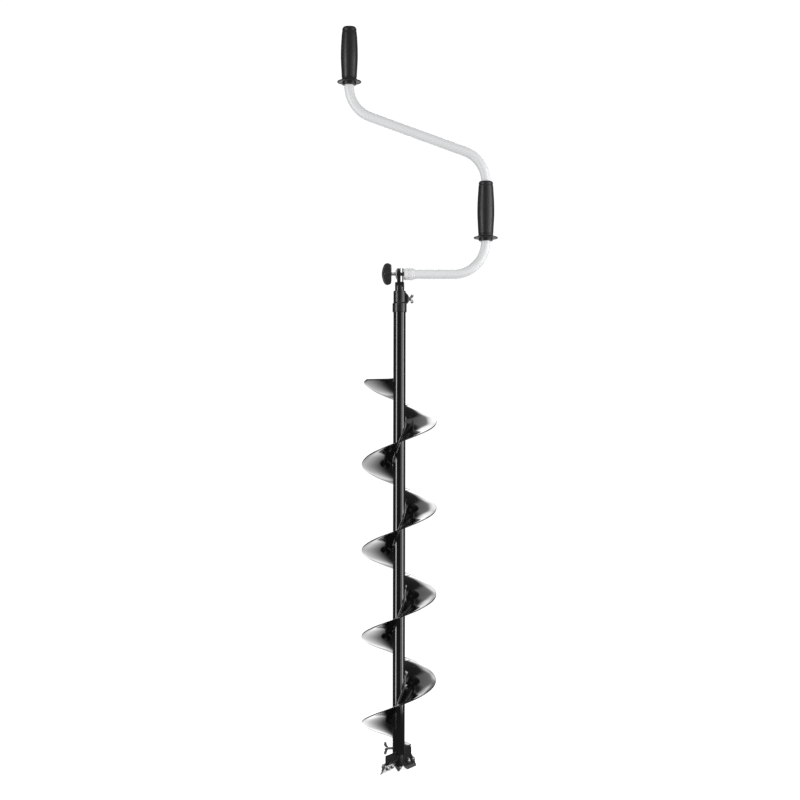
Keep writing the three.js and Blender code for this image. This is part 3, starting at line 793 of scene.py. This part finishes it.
def add_collar():
    """A cast ring over the tube's end, a boss towards +X and a round pad for the wing screw."""
    low = COLLAR.low.z
    high = COLLAR.high.z
    shoulder = MAIN_TUBE.high.z + GAP
    ring_r = COLLAR.size.y / 2
    bore = INNER_R + 0.35
    socket = TUBE_R + GAP
    body = turned([
        (0, low), (ring_r, low, 0.6), (ring_r, shoulder, 1.2), (TUBE_R, shoulder + 1.8, 1.2),
        (TUBE_R, high, 1.4), (0, high),
    ], 96)
    reach = COLLAR.high.x
    face = reach - 1.0
    screw_z = COLLAR_SCREW.middle.z
    outline = rounded([
        (2.0, -13.5), (bore + 1, -13.0, 3.0), (face, -6.4, 2.5), (face, 6.4, 2.5),
        (bore + 1, 14.0, 3.0), (2.0, 14.5),
    ], closed=True)
    boss = plate(outline, -7.2, 7.2, 1.6).moved(UPRIGHT).at(z=screw_z)
    pad = turned([(0, 0), (5.6, 0, 0.2), (5.6, reach, 0.7), (0, reach)], 40).moved(AXIS_X)
    collar = cast(join(solid(body), boss, pad.at(z=screw_z)), 0.4, 4)
    cut(collar, rod(bore, low - 5, high + 5, 96), rod(socket, low - 5, shoulder, 96),
        rod(SCREW_HOLE_R, 2, reach + 2).moved(AXIS_X).at(z=screw_z))
    finish_piece("clamp_casting", collar, "auger", CAST_BLACK, ["clamp_collar"])


def add_inner_tube():
    low = INNER_TUBE.low.z
    high = INNER_TUBE.high.z
    inner = INNER_R - 1.5
    tube = turned([
        (inner, low, 0.3), (INNER_R, low, 0.5), (INNER_R, high, 0.4), (inner, high, 0.3),
    ], 96, 3, hollow=True)
    finish_piece("sliding_tube", solid(tube), "telescope", BLACK, ["inner_tube"])


# ---- folding hinge


def on_hinge(shape):
    """Lays a shape drawn about Z along the hinge's axis."""
    return shape.moved(AXIS_X).at(z=HINGE_Z)


def add_fork():
    """A stub on the inner tube with two rounded ears beside the handle's end."""
    low = FORK.low.z
    base = INNER_TUBE.high.z + GAP
    stub_top = base + 14
    spigot = INNER_R - 1.8
    shaft = turned([
        (0, low), (spigot, low, 0.8), (spigot, base), (INNER_R, base, 0.4), (INNER_R, stub_top, 0.5),
        (0, stub_top),
    ], 72)
    crown = [(EAR_CROWN_R * math.cos(a), HINGE_Z + EAR_CROWN_R * math.sin(a))
             for a in (math.radians(d) for d in range(25, 156, 10))]
    outline = rounded([
        (-6.5, base + 4, 2), (6.5, base + 4, 2), (EAR_HALF_WIDTH, base + 12, 5),
        (EAR_HALF_WIDTH, HINGE_Z + 2), *crown, (-EAR_HALF_WIDTH, HINGE_Z + 2),
        (-EAR_HALF_WIDTH, base + 12, 5),
    ], closed=True)
    across = Matrix.Rotation(math.pi / 2, 4, "Z") @ UPRIGHT
    fork = join(solid(shaft), plate(outline, EAR_LEFT[0], EAR_RIGHT[1], 0.5).moved(across))
    slot = plate(rectangle(EAR_LEFT[1], EAR_RIGHT[0], -30, 30), stub_top, FORK.high.z + 20)
    cut(fork, slot, on_hinge(rod(BOLT_R + GAP, -30, 30, 40)))
    finish_piece("fork", cast(fork, 0.36, 2), "telescope", CAST_BLACK, ["hinge_fork"])


def add_hinge_bolt():
    """The threaded bolt and the dished washer under its knob."""
    shank = thread(BOLT_R, BOLT.low.x, BOLT.high.x, 1.25, 36)
    finish_piece("pivot_bolt", solid(on_hinge(shank)), "hinge_screw", ZINC, ["hinge_bolt"])
    bore = BOLT_R + GAP
    face = CUP_WASHER.high.x
    back = face - 2.4
    rim = CUP_WASHER.size.z / 2
    cup = turned([
        (bore, face), (rim, face, 0.3), (rim, face - 0.9, 0.4), (rim - 3.2, face - 2.0, 2.0),
        (6.0, back, 0.5), (bore, back, 0.3),
    ], 72, hollow=True)
    finish_piece("cup_washer", solid(on_hinge(cup)), "telescope", ZINC, ["hinge_cup_washer"])


def add_lock_washer():
    """A ring with radial teeth pressed up on both faces."""
    bore = BOLT_R + GAP
    rim = LOCK_WASHER.size.z / 2
    toothed_from = rim - 3.2
    middle = LOCK_WASHER.middle.x
    half = LOCK_WASHER.size.x / 2
    flat = half * 0.62
    teeth = 24
    rings = []
    for side in range(teeth * 6):
        angle = 2 * math.pi * side / (teeth * 6)
        tooth = half * (0.55 + 0.45 * abs(math.sin(angle * teeth / 2)))
        face = [(bore, flat), (toothed_from, flat), (rim - 0.3, tooth), (rim, tooth * 0.6)]
        outline = [(r, -out) for r, out in face] + face[::-1]
        rings.append([Vector((middle + out, r * math.cos(angle), HINGE_Z + r * math.sin(angle)))
                      for r, out in outline])
    finish_piece("lock_washer", solid(loft(rings, joined=True)), "handle", ZINC,
                 ["hinge_lock_washer"], crease=25)


def knob_outline(left, right, half):
    """The paddle seen from the front: a flat side by the bolt and a bulging outer side."""
    above = [(right, 0.64 * half), (right - 1.6, 0.88 * half), (right - 8.1, half),
             (left + 5.0, 0.86 * half), (left + 1.1, 0.42 * half)]
    below = [(x, -z) for x, z in reversed(above)]
    return spline([below[-1], *above, (left, 0.0), *below], 6)[:-1]


def add_knob():
    """A two-winged paddle with dished faces, a moulding line and a hub by the washer."""
    left = KNOB.low.x
    right = KNOB.high.x
    half = KNOB.size.z / 2
    depth = KNOB.size.y / 2
    outline = knob_outline(left + 0.4, right, half - 0.4)
    centre = Vector(((left + right) / 2 + 1, 0))
    slices = 19
    rings = []
    for step in range(1, slices):
        angle = math.pi * step / slices
        inner = math.sin(angle) ** 0.62
        dish = 1 - 0.22 * math.exp(-(inner / 0.62) ** 4)
        across = -depth * math.copysign(abs(math.cos(angle)) ** 0.75, math.cos(angle)) * dish
        seam = 1 + 0.012 * math.exp(-((angle - math.pi / 2) / 0.09) ** 2)
        rings.append([Vector((p.x, across, p.y + HINGE_Z))
                      for p in (centre + (q - centre) * inner * seam for q in outline)])
    knob = solid(loft(rings))
    hub_r = 5.4
    hub = [(0, right - 15), (hub_r, right - 14, 3.0), (hub_r, right, 0.8), (0, right)]
    join(knob, on_hinge(turned(hub, 56)))
    cast(knob, 0.42, 3)
    cut(knob, on_hinge(rod(BOLT_R + GAP, BOLT.low.x - GAP, 0)))
    finish_piece("paddle_knob", knob, "hinge_screw", KNOB_PLASTIC, ["hinge_wing_knob"])


# ---- handle


def handle_stations():
    """Points and headings along the bent tube's centre line, in X and Z."""
    lower_x = LOWER_GRIP.middle.x
    upper_x = UPPER_GRIP.middle.x
    rise = math.tan(SLOPE)
    corners = [
        Vector((FERRULE.low.x + FERRULE_STEP + GAP, HINGE_Z)),
        Vector((lower_x, HINGE_Z)),
        Vector((lower_x, DIAGONAL_Z - lower_x * rise)),
        Vector((upper_x, DIAGONAL_Z - upper_x * rise)),
        Vector((upper_x, HANDLE.high.z)),
    ]
    stations = [(corners[0], 0.0, 0.0)]
    for before, corner, after in zip(corners, corners[1:], corners[2:]):
        start = math.atan2(*reversed(corner - before))
        turn = math.atan2(*reversed(after - corner)) - start
        side = math.copysign(1, turn)
        tangent = BEND_R * math.tan(abs(turn) / 2)
        begin = corner - Vector((math.cos(start), math.sin(start))) * tangent
        centre = begin + Vector((-math.sin(start), math.cos(start))) * side * BEND_R
        count = math.ceil(abs(turn) / math.radians(3))
        for step in range(count + 1):
            heading = start + turn * step / count
            point = centre + Vector((math.sin(heading), -math.cos(heading))) * side * BEND_R
            flattening = 0.022 * math.sin(math.pi * step / count)
            stations.append((point, heading, flattening))
    stations.append((corners[-1], stations[-1][1], 0.0))
    return stations


def tube_ring(station, radius, sides=64):
    point, heading, flattening = station
    along = Vector((-math.sin(heading), math.cos(heading)))
    ring = []
    for side in range(sides):
        angle = 2 * math.pi * side / sides
        reach = radius * (1 - flattening) * math.cos(angle)
        place = point + along * reach
        ring.append(Vector((place.x, radius * (1 + flattening * 0.3) * math.sin(angle), place.y)))
    return ring


def add_handle_tube():
    stations = handle_stations()
    inner = HANDLE_R - HANDLE_WALL
    rings = [tube_ring(station, HANDLE_R - 0.05) for station in stations]
    back = [tube_ring(station, inner) for station in reversed(stations)]
    tube = loft(rings + back, joined=True)
    finish_piece("crank_tube", solid(tube), "handle", LIGHT, ["handle_tube"])


def add_ferrule():
    low = FERRULE.low.x
    high = FERRULE.high.x
    rim = FERRULE.size.y / 2
    bore = BOLT_R + GAP
    socket = HANDLE_R + GAP
    step_x = low + FERRULE_STEP
    nose = rim - 0.1
    waist = rim - 1.3
    ferrule = turned([
        (bore, low, 0.4), (rim - 1.2, low, 1.0), (nose, low + 1.6, 1.6), (nose, low + 5.6, 1.6),
        (waist, low + 7.0, 0.8), (waist, low + 8.4, 0.8), (rim, low + 9.8, 1.6),
        (rim, high - 2.4, 1.6), (socket + 0.5, high, 0.5), (socket, high), (socket, step_x),
        (bore, step_x),
    ], 80, hollow=True)
    finish_piece("threaded_ferrule", solid(on_hinge(ferrule)), "handle", LIGHT, ["handle_ferrule"])

    def ripple(angle):
        uneven = noise.noise(Vector((3 * math.cos(angle), 3 * math.sin(angle), 0)))
        return 0.12 * math.cos(angle * 26) + 0.12 * uneven

    line = [(HANDLE_R - 0.3, high - 0.6), (rim - 1.0, high - 0.6), (rim - 1.1, high + 0.5),
            (HANDLE_R + 0.9, high + 1.5), (HANDLE_R + 0.2, high + 2.3), (HANDLE_R - 0.3, high + 2.4)]
    weld = on_hinge(lathe(line, 208, hollow=True, bump=ripple))
    finish_piece("ferrule_weld", solid(weld), "handle", LIGHT, crease=60)


# ---- grips


def grip_profile(length, rim_r, mouth_r):
    """Half of a grip's section: lower collar, drooping hand guard, bulged body, upper rim."""
    bore = HANDLE_R + GAP
    collar = rounded([
        (bore, 0.2), (12.9, 0.0, 0.7), (13.5, 1.2, 0.5), (13.5, 6.4, 0.9), (19.5, 6.5, 2.0),
        (22.8, 4.9, 0.7), (23.6, 5.7, 0.6), (23.0, 7.7, 1.4), (20.0, 8.8, 2.5), (14.9, 9.7, 1.6),
        (14.5, 12.9, 0.5), (14.1, 13.4, 0.3), (14.1, 14.4, 0.3), (14.6, 14.9, 0.3),
    ], 5)
    body = spline([(14.6, 15.4), (15.3, 29), (16.2, 46), (16.45, 60), (16.0, 78), (14.9, 96),
                   (14.1, length - 8.5)], 7)
    top = rounded([
        (13.9, length - 7.4), (13.5, length - 7.0, 0.3), (13.5, length - 6.0, 0.3),
        (13.8, length - 5.5, 0.3), (13.6, length - 2.0, 0.8), (rim_r, length, 1.0),
        (mouth_r, length, 0.3), (mouth_r, length - 1.5),
    ], 4)
    return collar + body + top


def moulding_line(angle):
    """Two fine ridges where the mould's halves met."""
    off = min(abs(math.remainder(angle - side, 2 * math.pi)) for side in (0.0, math.pi))
    return 0.13 * math.exp(-(off / 0.02) ** 2)


def add_grip(name, span, body, node, section):
    """A moulded grip turned about the handle tube's axis."""
    grip = lathe(section, GRIP_SIDES, hollow=True, bump=moulding_line)
    grip.at(span.middle.x, 0, span.low.z)
    finish_piece(name, solid(grip), body, GRIP_PLASTIC, [node])


def add_grips():
    """The lower grip, and the upper one over the tube's open end with the cap that closes it."""
    bore = HANDLE_R + GAP
    length = LOWER_GRIP.size.z
    section = grip_profile(length, LOWER_RIM_R, bore)
    section += [Vector((bore, length - 2)), Vector((bore, 1.0))]
    add_grip("side_handgrip", LOWER_GRIP, "side_grip", "lower_grip", section)
    floor = HANDLE.high.z - UPPER_GRIP.low.z - 0.6
    section = grip_profile(UPPER_GRIP.size.z, UPPER_RIM_R, UPPER_ROOM_R)
    section += [Vector((UPPER_ROOM_R, floor)), Vector((bore, floor)), Vector((bore, 1.0))]
    add_grip("top_handgrip", UPPER_GRIP, "top_grip", "upper_grip", section)
    low = GRIP_CAP.low.z
    high = GRIP_CAP.high.z
    lip = UPPER_GRIP.high.z + GAP
    plug_r = UPPER_ROOM_R - 0.3
    cap = turned([
        (0, low), (plug_r, low, 0.3), (plug_r, lip), (12.0, lip, 0.2), (11.6, lip + 0.9, 0.6),
        (8.6, lip + 1.7, 0.4), (8.2, lip + 1.35, 0.2), (7.7, lip + 1.35, 0.2), (7.3, lip + 2.0, 0.4),
        (3.0, high - 0.1, 2.0), (0, high),
    ], 96).at(UPPER_GRIP.middle.x)
    finish_piece("top_cap", solid(cap), "top_grip", GRIP_PLASTIC, ["upper_grip_cap"])


def add_handle_end():
    """The plug in the tube's upper end, and the flanged screw that keeps the grip on."""
    axis_x = UPPER_GRIP.middle.x
    plug = Span("handle_end_plug")
    plug_r = plug.size.x / 2
    bore = 2.8
    ring = turned([
        (bore, plug.low.z, 0.3), (plug_r, plug.low.z, 0.6), (plug_r, plug.high.z, 0.4),
        (bore, plug.high.z, 0.3),
    ], 56, hollow=True)
    finish_piece("end_plug", solid(ring.at(axis_x)), "handle", TURNED, ["handle_end_plug"])
    screw = Span("grip_retaining_screw")
    base = HANDLE.high.z + GAP
    flange_r = 10.6
    flange_top = base + 1.2
    head_r = 4.4
    head = solid(turned([
        (0, base), (flange_r, base, 0.2), (flange_r, flange_top, 0.4), (head_r, flange_top, 0.3),
        (head_r, screw.high.z, 1.4), (0, screw.high.z),
    ], 56).at(axis_x))
    socket = rod(3.0, 0, 6, 6)
    cut(head, socket.at(axis_x, 0, screw.high.z - 2.4))
    stem = solid(thread(2.5, screw.low.z, base + 0.2, 0.8, 24).at(axis_x))
    finish_piece("retaining_screw", join_plain(head, stem), "handle", ZINC,
                 ["grip_retaining_screw"])


# ---- cutter head


def on_seat(degrees, lift=0.0):
    """From a plate lying in X and Y to its place on the slope under the shaft."""
    return (Matrix.Rotation(math.radians(degrees), 4, "Z")
            @ Matrix.Translation((0, 0, SEAT_START_Z))
            @ Matrix.Rotation(BLADE_SLOPE, 4, "X")
            @ Matrix.Translation((0, 0, lift)))


def add_core():
    """The hub with its spigot in the main tube, and the point below it."""
    low = CORE.low.z
    high = CORE.high.z
    radius = CORE.size.x / 2
    shoulder = MAIN_TUBE.low.z - GAP
    spigot = TUBE_R - TUBE_WALL - GAP
    shank = 4.0
    core = solid(turned([
        (0, low), (9.0, low, 0.8), (radius, low + 4, 1.2), (radius, shoulder, 0.6),
        (spigot, shoulder, 0.3), (spigot, high - 2, 0.8), (spigot - 1.5, high, 0.5), (0, high),
    ], 96))
    screw_hole = rod(SCREW_HOLE_R, 3, 20).moved(AXIS_X).moved(HALF_TURN)
    cut(core, rod(shank + GAP, low - 1, low + 16.3, 40), screw_hole.at(z=HEAD_SCREW_Z))
    finish_piece("cutter_hub", core, "auger", CAST_BLACK, ["head_core"])
    neck = PILOT.size.x / 2
    point = turned([
        (0, 0), (1.6, 0, 0.2), (2.2, 0.8, 0.3), (neck, 7.4, 0.6), (neck, low - GAP, 0.3),
        (shank, low - GAP), (shank, PILOT.high.z, 0.5), (0, PILOT.high.z),
    ], 64)
    finish_piece("centre_point", solid(point), "auger", TURNED, ["pilot_point"])


def seat_solid():
    """Web and sloping ledge in the seat's own frame, before it is turned to its angle."""
    foot = SEAT_START_Z - 2
    web = rounded([
        (WEB_ROOT, SEAT_TOP), (SEAT_R, SEAT_TOP, 2.5), (SEAT_R, foot, 2.0), (WEB_ROOT, foot),
    ], closed=True)
    half = SEAT_THICKNESS / 2
    upright = plate(web, -half, half, 0.5).moved(UPRIGHT)
    ledge = rounded([
        (LEDGE_ROOT, LEDGE_TOP), (LEDGE_ROOT, LEDGE_BOTTOM, 1.0), (SEAT_R - 1, LEDGE_BOTTOM, 8.0),
        (SEAT_R - 1, LEDGE_TOP),
    ], closed=True)
    return join(solid(upright), plate(ledge, -half, half, 0.5).moved(on_seat(0)))


def screw_holes():
    return [rod(SCREW_HOLE_R, -20, 20, 40).at(reach, -BLADE_SCREW_DOWN, 0).moved(on_seat(0))
            for reach in BLADE_SCREW_RADII]


def seat_welds():
    """Beads between the seat and the hub, and in the corner of web and ledge."""
    beads = Shape()
    upright = steps_between(SEAT_START_Z - 2, MAIN_TUBE.low.z - 1.5, 0.6)
    for side in (1, -1):
        beads.add(bead([Vector((12.0, side * 2.1, z)) for z in upright], 1.3))
    corner = SEAT_THICKNESS / 2 + 0.5
    along = steps_between(14, SEAT_R - 9, 0.6)
    beads.add(bead([Vector((x, corner, SEAT_START_Z - 1.2)) for x in along], 1.5))
    down = steps_between(0, 13, 0.6)
    for side in (1, -1):
        line = [on_seat(0) @ Vector((WEB_ROOT, -distance, side * 1.7)) for distance in down]
        beads.add(bead([point for point in line if point.z > CORE.low.z + 3], 1.2))
    return beads


def foot_weld():
    """The bead between the flight's lower end and the top of the seat it stands on."""
    points = []
    for reach in steps_between(14, SEAT_R - 2, 0.6):
        rise = math.atan2(PITCH, 2 * math.pi * reach)
        underside = flight_height(FLIGHT_START) - FLIGHT_THICKNESS / 2 / math.cos(rise)
        points.append(Vector((reach, 0, (SEAT_TOP + underside) / 2)))
    return bead(points, 1.35)


def bead(points, radius):
    """A rippled weld bead along points."""
    rings = []
    for index, point in enumerate(points):
        before = points[max(index - 1, 0)]
        after = points[min(index + 1, len(points) - 1)]
        along = (after - before).normalized()
        side = along.orthogonal().normalized()
        other = along.cross(side)
        from_end = min(index, len(points) - 1 - index)
        size = radius * min(1.0, 0.55 + 0.25 * from_end)
        size *= 1 + 0.09 * math.cos(index * math.pi / 2) + 0.10 * noise.noise(point / 3)
        rings.append([point + (side * math.cos(a) + other * math.sin(a)) * size
                      for a in (2 * math.pi * step / 10 for step in range(10))])
    return loft(rings)


def blade_mesh():
    """A flat blade with a bevel ground on its rear face, a honed lip and a rounded corner."""
    outline = rounded([
        (BLADE_INNER, BLADE_BACK, 0.6), (BLADE_OUTER, BLADE_BACK, 4.0),
        (BLADE_OUTER, BLADE_FRONT, 9.0), (BLADE_INNER + 5, BLADE_FRONT, 0.5),
        (BLADE_INNER, BLADE_FRONT + 5, 0.5),
    ], 6, closed=True)
    blade = solid(plate(outline, 0, BLADE_THICKNESS))
    lip_drop = (BEVEL[1] - LIP[1]) * math.tan(math.radians(BEVEL[0]))
    for (slope, width), drop in ((BEVEL, 0.0), (LIP, lip_drop)):
        wedge = plate(rectangle(0, 160, -30, 0), -20, 0)
        wedge.moved(Matrix.Rotation(math.radians(-slope), 4, "X"))
        cut(blade, wedge.at(-20, BLADE_FRONT + width, drop))
    return blade


def add_blade_map(mesh, degrees):
    """Coordinates in centimetres along and across the blade, for its grinding marks."""
    back = on_seat(degrees).inverted()
    layer = mesh.uv_layers.new(name="blade")
    for loop in mesh.loops:
        local = back @ (mesh.vertices[loop.vertex_index].co / MM)
        layer.data[loop.index].uv = (local.x / 10, local.y / 10)


def button_screw():
    """Round head with a hexagon socket under the blade, and a thread that passes the nut."""
    base = -SEAT_THICKNESS / 2 - GAP - BLADE_THICKNESS - GAP
    top = base - 3.15
    head = solid(turned([
        (0, top), (2.4, top, 0.3), (3.6, base - 2.8, 1.0), (5.2, base - 1.2, 0.6),
        (5.35, base, 0.2), (0, base),
    ], 48))
    cut(head, rod(2.1, base - 5, base - 1.2, 6))
    return join_plain(head, solid(thread(SCREW_R, base - 0.4, 8, 1.0, 28)))


def hexagon_nut():
    foot = SEAT_THICKNESS / 2 + GAP
    top = foot + 4.6
    face_r = 4.9
    round_r = 5.7
    bevel = 0.75
    nut = solid(rod(5.55, foot, top, 6))
    chamfered = lathe([(0, foot), (face_r, foot), (round_r, foot + bevel), (round_r, top - bevel),
                       (face_r, top), (0, top)], 64)
    combine(nut, [chamfered], "INTERSECT")
    return cut(nut, rod(SCREW_R + 0.25, foot - 10, top + 10, 36))


def add_blades():
    for letter, degrees in BLADE_ANGLES.items():
        spin = Matrix.Rotation(math.radians(degrees), 4, "Z")
        seat = cast(seat_solid(), 0.45, 2)
        cut(seat, *screw_holes())
        finish_piece(f"seat_{letter}", transformed(seat, spin), "auger", CAST_BLACK,
                     [f"blade_seat_{letter}"])
        beads = seat_welds()
        if math.isclose(degrees, FLIGHT_START % 360):
            beads.add(foot_weld())
        finish_piece(f"seat_weld_{letter}", solid(beads.moved(spin)), "auger", CAST_BLACK, crease=60)
        blade = transformed(blade_mesh(), on_seat(0, -SEAT_THICKNESS / 2 - GAP - BLADE_THICKNESS))
        cut(blade, *screw_holes())
        bevelled(blade, 0.12)
        transformed(blade, spin)
        finish_piece(f"cutter_{letter}", blade, "auger", GROUND, [f"blade_{letter}"], crease=10)
        add_blade_map(blade.data, degrees)
        for number, reach in enumerate(BLADE_SCREW_RADII, 1):
            place = on_seat(degrees) @ Matrix.Translation((reach, -BLADE_SCREW_DOWN, 0))
            finish_piece(f"cutter_screw_{letter}{number}", transformed(button_screw(), place), "auger",
                         ZINC, [f"blade_screw_{letter}{number}"], crease=32)
            finish_piece(f"cutter_nut_{letter}{number}", transformed(hexagon_nut(), place), "auger",
                         ZINC, [f"blade_nut_{letter}{number}"], crease=25)


# ---- carried-over nodes


def refinish(node, material):
    """Gives a CAD node that keeps its shape a better material."""
    for material_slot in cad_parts[node].material_slots:
        material_slot.material = material


# ---- floor, light and camera


def add_floor():
    """A pale round table top; the auger's point stands on it."""
    floor = solid(lathe([(0, 0), (FLOOR_R, 0), (FLOOR_R, -8), (0, -8)], 128), "floor")
    pale = Finish("pale_floor", Roughness=0.9, Specular_IOR_Level=0.0, Emission_Strength=FLOOR_LIGHT)
    pale.shader.inputs["Emission Color"].default_value = (1, 1, 1, 1)
    pale.colour(pale.blend(pale.noise(3, 3), (0.80, 0.80, 0.80), (0.84, 0.84, 0.84)))
    floor.data.materials.append(pale.material)
    floor.visible_glossy = False
    floor.visible_diffuse = False


def add_softbox(name, azimuth, width, brightness):
    """A tall soft light on the floor, turned to the shaft; azimuth 0 is on the camera's side."""
    light = bpy.data.lights.new(name, "AREA")
    light.shape = "RECTANGLE"
    light.size = width
    light.size_y = SOFTBOX_HEIGHT
    light.energy = brightness * math.pi * width * SOFTBOX_HEIGHT
    lamp = bpy.data.objects.new(name, light)
    bpy.context.scene.collection.objects.link(lamp)
    angle = math.radians(azimuth)
    centre = Vector((0, 0, SOFTBOX_HEIGHT / 2))
    lamp.location = centre + SOFTBOX_DISTANCE * Vector((math.sin(angle), -math.cos(angle), 0))
    lamp.rotation_euler = (centre - lamp.location).to_track_quat("-Z", "Y").to_euler()
    lamp.visible_camera = False


def add_world():
    """A studio: white for the camera, a nearly even ambient light for matt surfaces, and for
    glossy ones a tall narrow backdrop behind, a strip overhead, a soft glow from below and
    darkness elsewhere. X, Y and Z are the parts of a ray's unit heading."""
    world = bpy.data.worlds.new("studio")
    world.use_nodes = True
    world.cycles.sampling_method = "NONE"
    bpy.context.scene.world = world
    sky = Nodes(world.node_tree)
    background = sky.tree.nodes["Background"]
    background.inputs["Color"].default_value = (1, 1, 1, 1)

    def ramp(value, edges, start, end):
        return sky.range(value, *edges, start, end, interpolation_type="SMOOTHSTEP")

    def either(choice, otherwise, chosen):
        links = [("Factor", choice), ("A", otherwise), ("B", chosen)]
        return sky.node("ShaderNodeMix", links).outputs["Result"]

    heading = sky.node("ShaderNodeTexCoord").outputs["Generated"]
    x, y, z = sky.node("ShaderNodeSeparateXYZ", [(0, heading)]).outputs
    aside = sky.math("ABSOLUTE", x)
    standing = ramp(z, BACKDROP_FOOT, BACKDROP_UNDER_FOOT, 1.0)
    backdrop = sky.math("MULTIPLY", ramp(y, BACKDROP_EDGE, 0.0, BACKDROP_LIGHT), standing)
    overhead = ramp(z, OVERHEAD_EDGE, 0.0, OVERHEAD_LIGHT)
    strip = ramp(aside, STRIP_SIDES, 1.0, 0.0)
    upper = sky.math("MULTIPLY", sky.math("MAXIMUM", backdrop, overhead), strip)
    glow = ramp(y, GROUND_REACH, 0.0, GROUND_LIGHT)
    lower = sky.math("MULTIPLY", glow, ramp(aside, GROUND_SIDES, 1.0, 0.0))
    studio = sky.math("ADD", either(ramp(z, GROUND_EDGE, 1.0, 0.0), upper, lower), DARK_LIGHT)
    ambient = sky.math("ADD", sky.math("MULTIPLY", x, AMBIENT_TO_RIGHT), AMBIENT_LIGHT)
    ambient = sky.math("ADD", sky.math("MULTIPLY", z, AMBIENT_TO_TOP), ambient)
    path = sky.node("ShaderNodeLightPath").outputs
    unseen = either(path["Is Glossy Ray"], ambient, studio)
    sky.set(background.inputs["Strength"], either(path["Is Camera Ray"], unseen, CAMERA_WHITE))


def add_camera():
    """Level, three turns up the screw, and almost square to the crank's plane."""
    data = bpy.data.cameras.new("camera")
    data.lens = CAMERA_LENS
    data.shift_y = CAMERA_SHIFT
    camera = bpy.data.objects.new("camera", data)
    bpy.context.scene.collection.objects.link(camera)
    camera.location = CAMERA_PLACE
    camera.rotation_euler = (math.pi / 2, CAMERA_ROLL, 0)
    bpy.context.scene.camera = camera


add_main_tube()
add_flights()
add_collar()
add_inner_tube()
add_wing_screws()
add_fork()
add_hinge_bolt()
add_lock_washer()
add_knob()
add_handle_tube()
add_ferrule()
add_grips()
add_handle_end()
add_core()
add_blades()
refinish("guide_bush", NYLON)
refinish("inner_tube_stop", NYLON)
refinish("collar_pressure_pad", BRASS)

add_floor()
add_world()
add_softbox("left_strip", azimuth=-57, width=0.36, brightness=8.5)
add_softbox("right_softbox", azimuth=54, width=1.05, brightness=1.7)
add_softbox("right_edge", azimuth=76, width=0.40, brightness=5.5)
add_camera()
bpy.context.scene.view_settings.view_transform = "Standard"
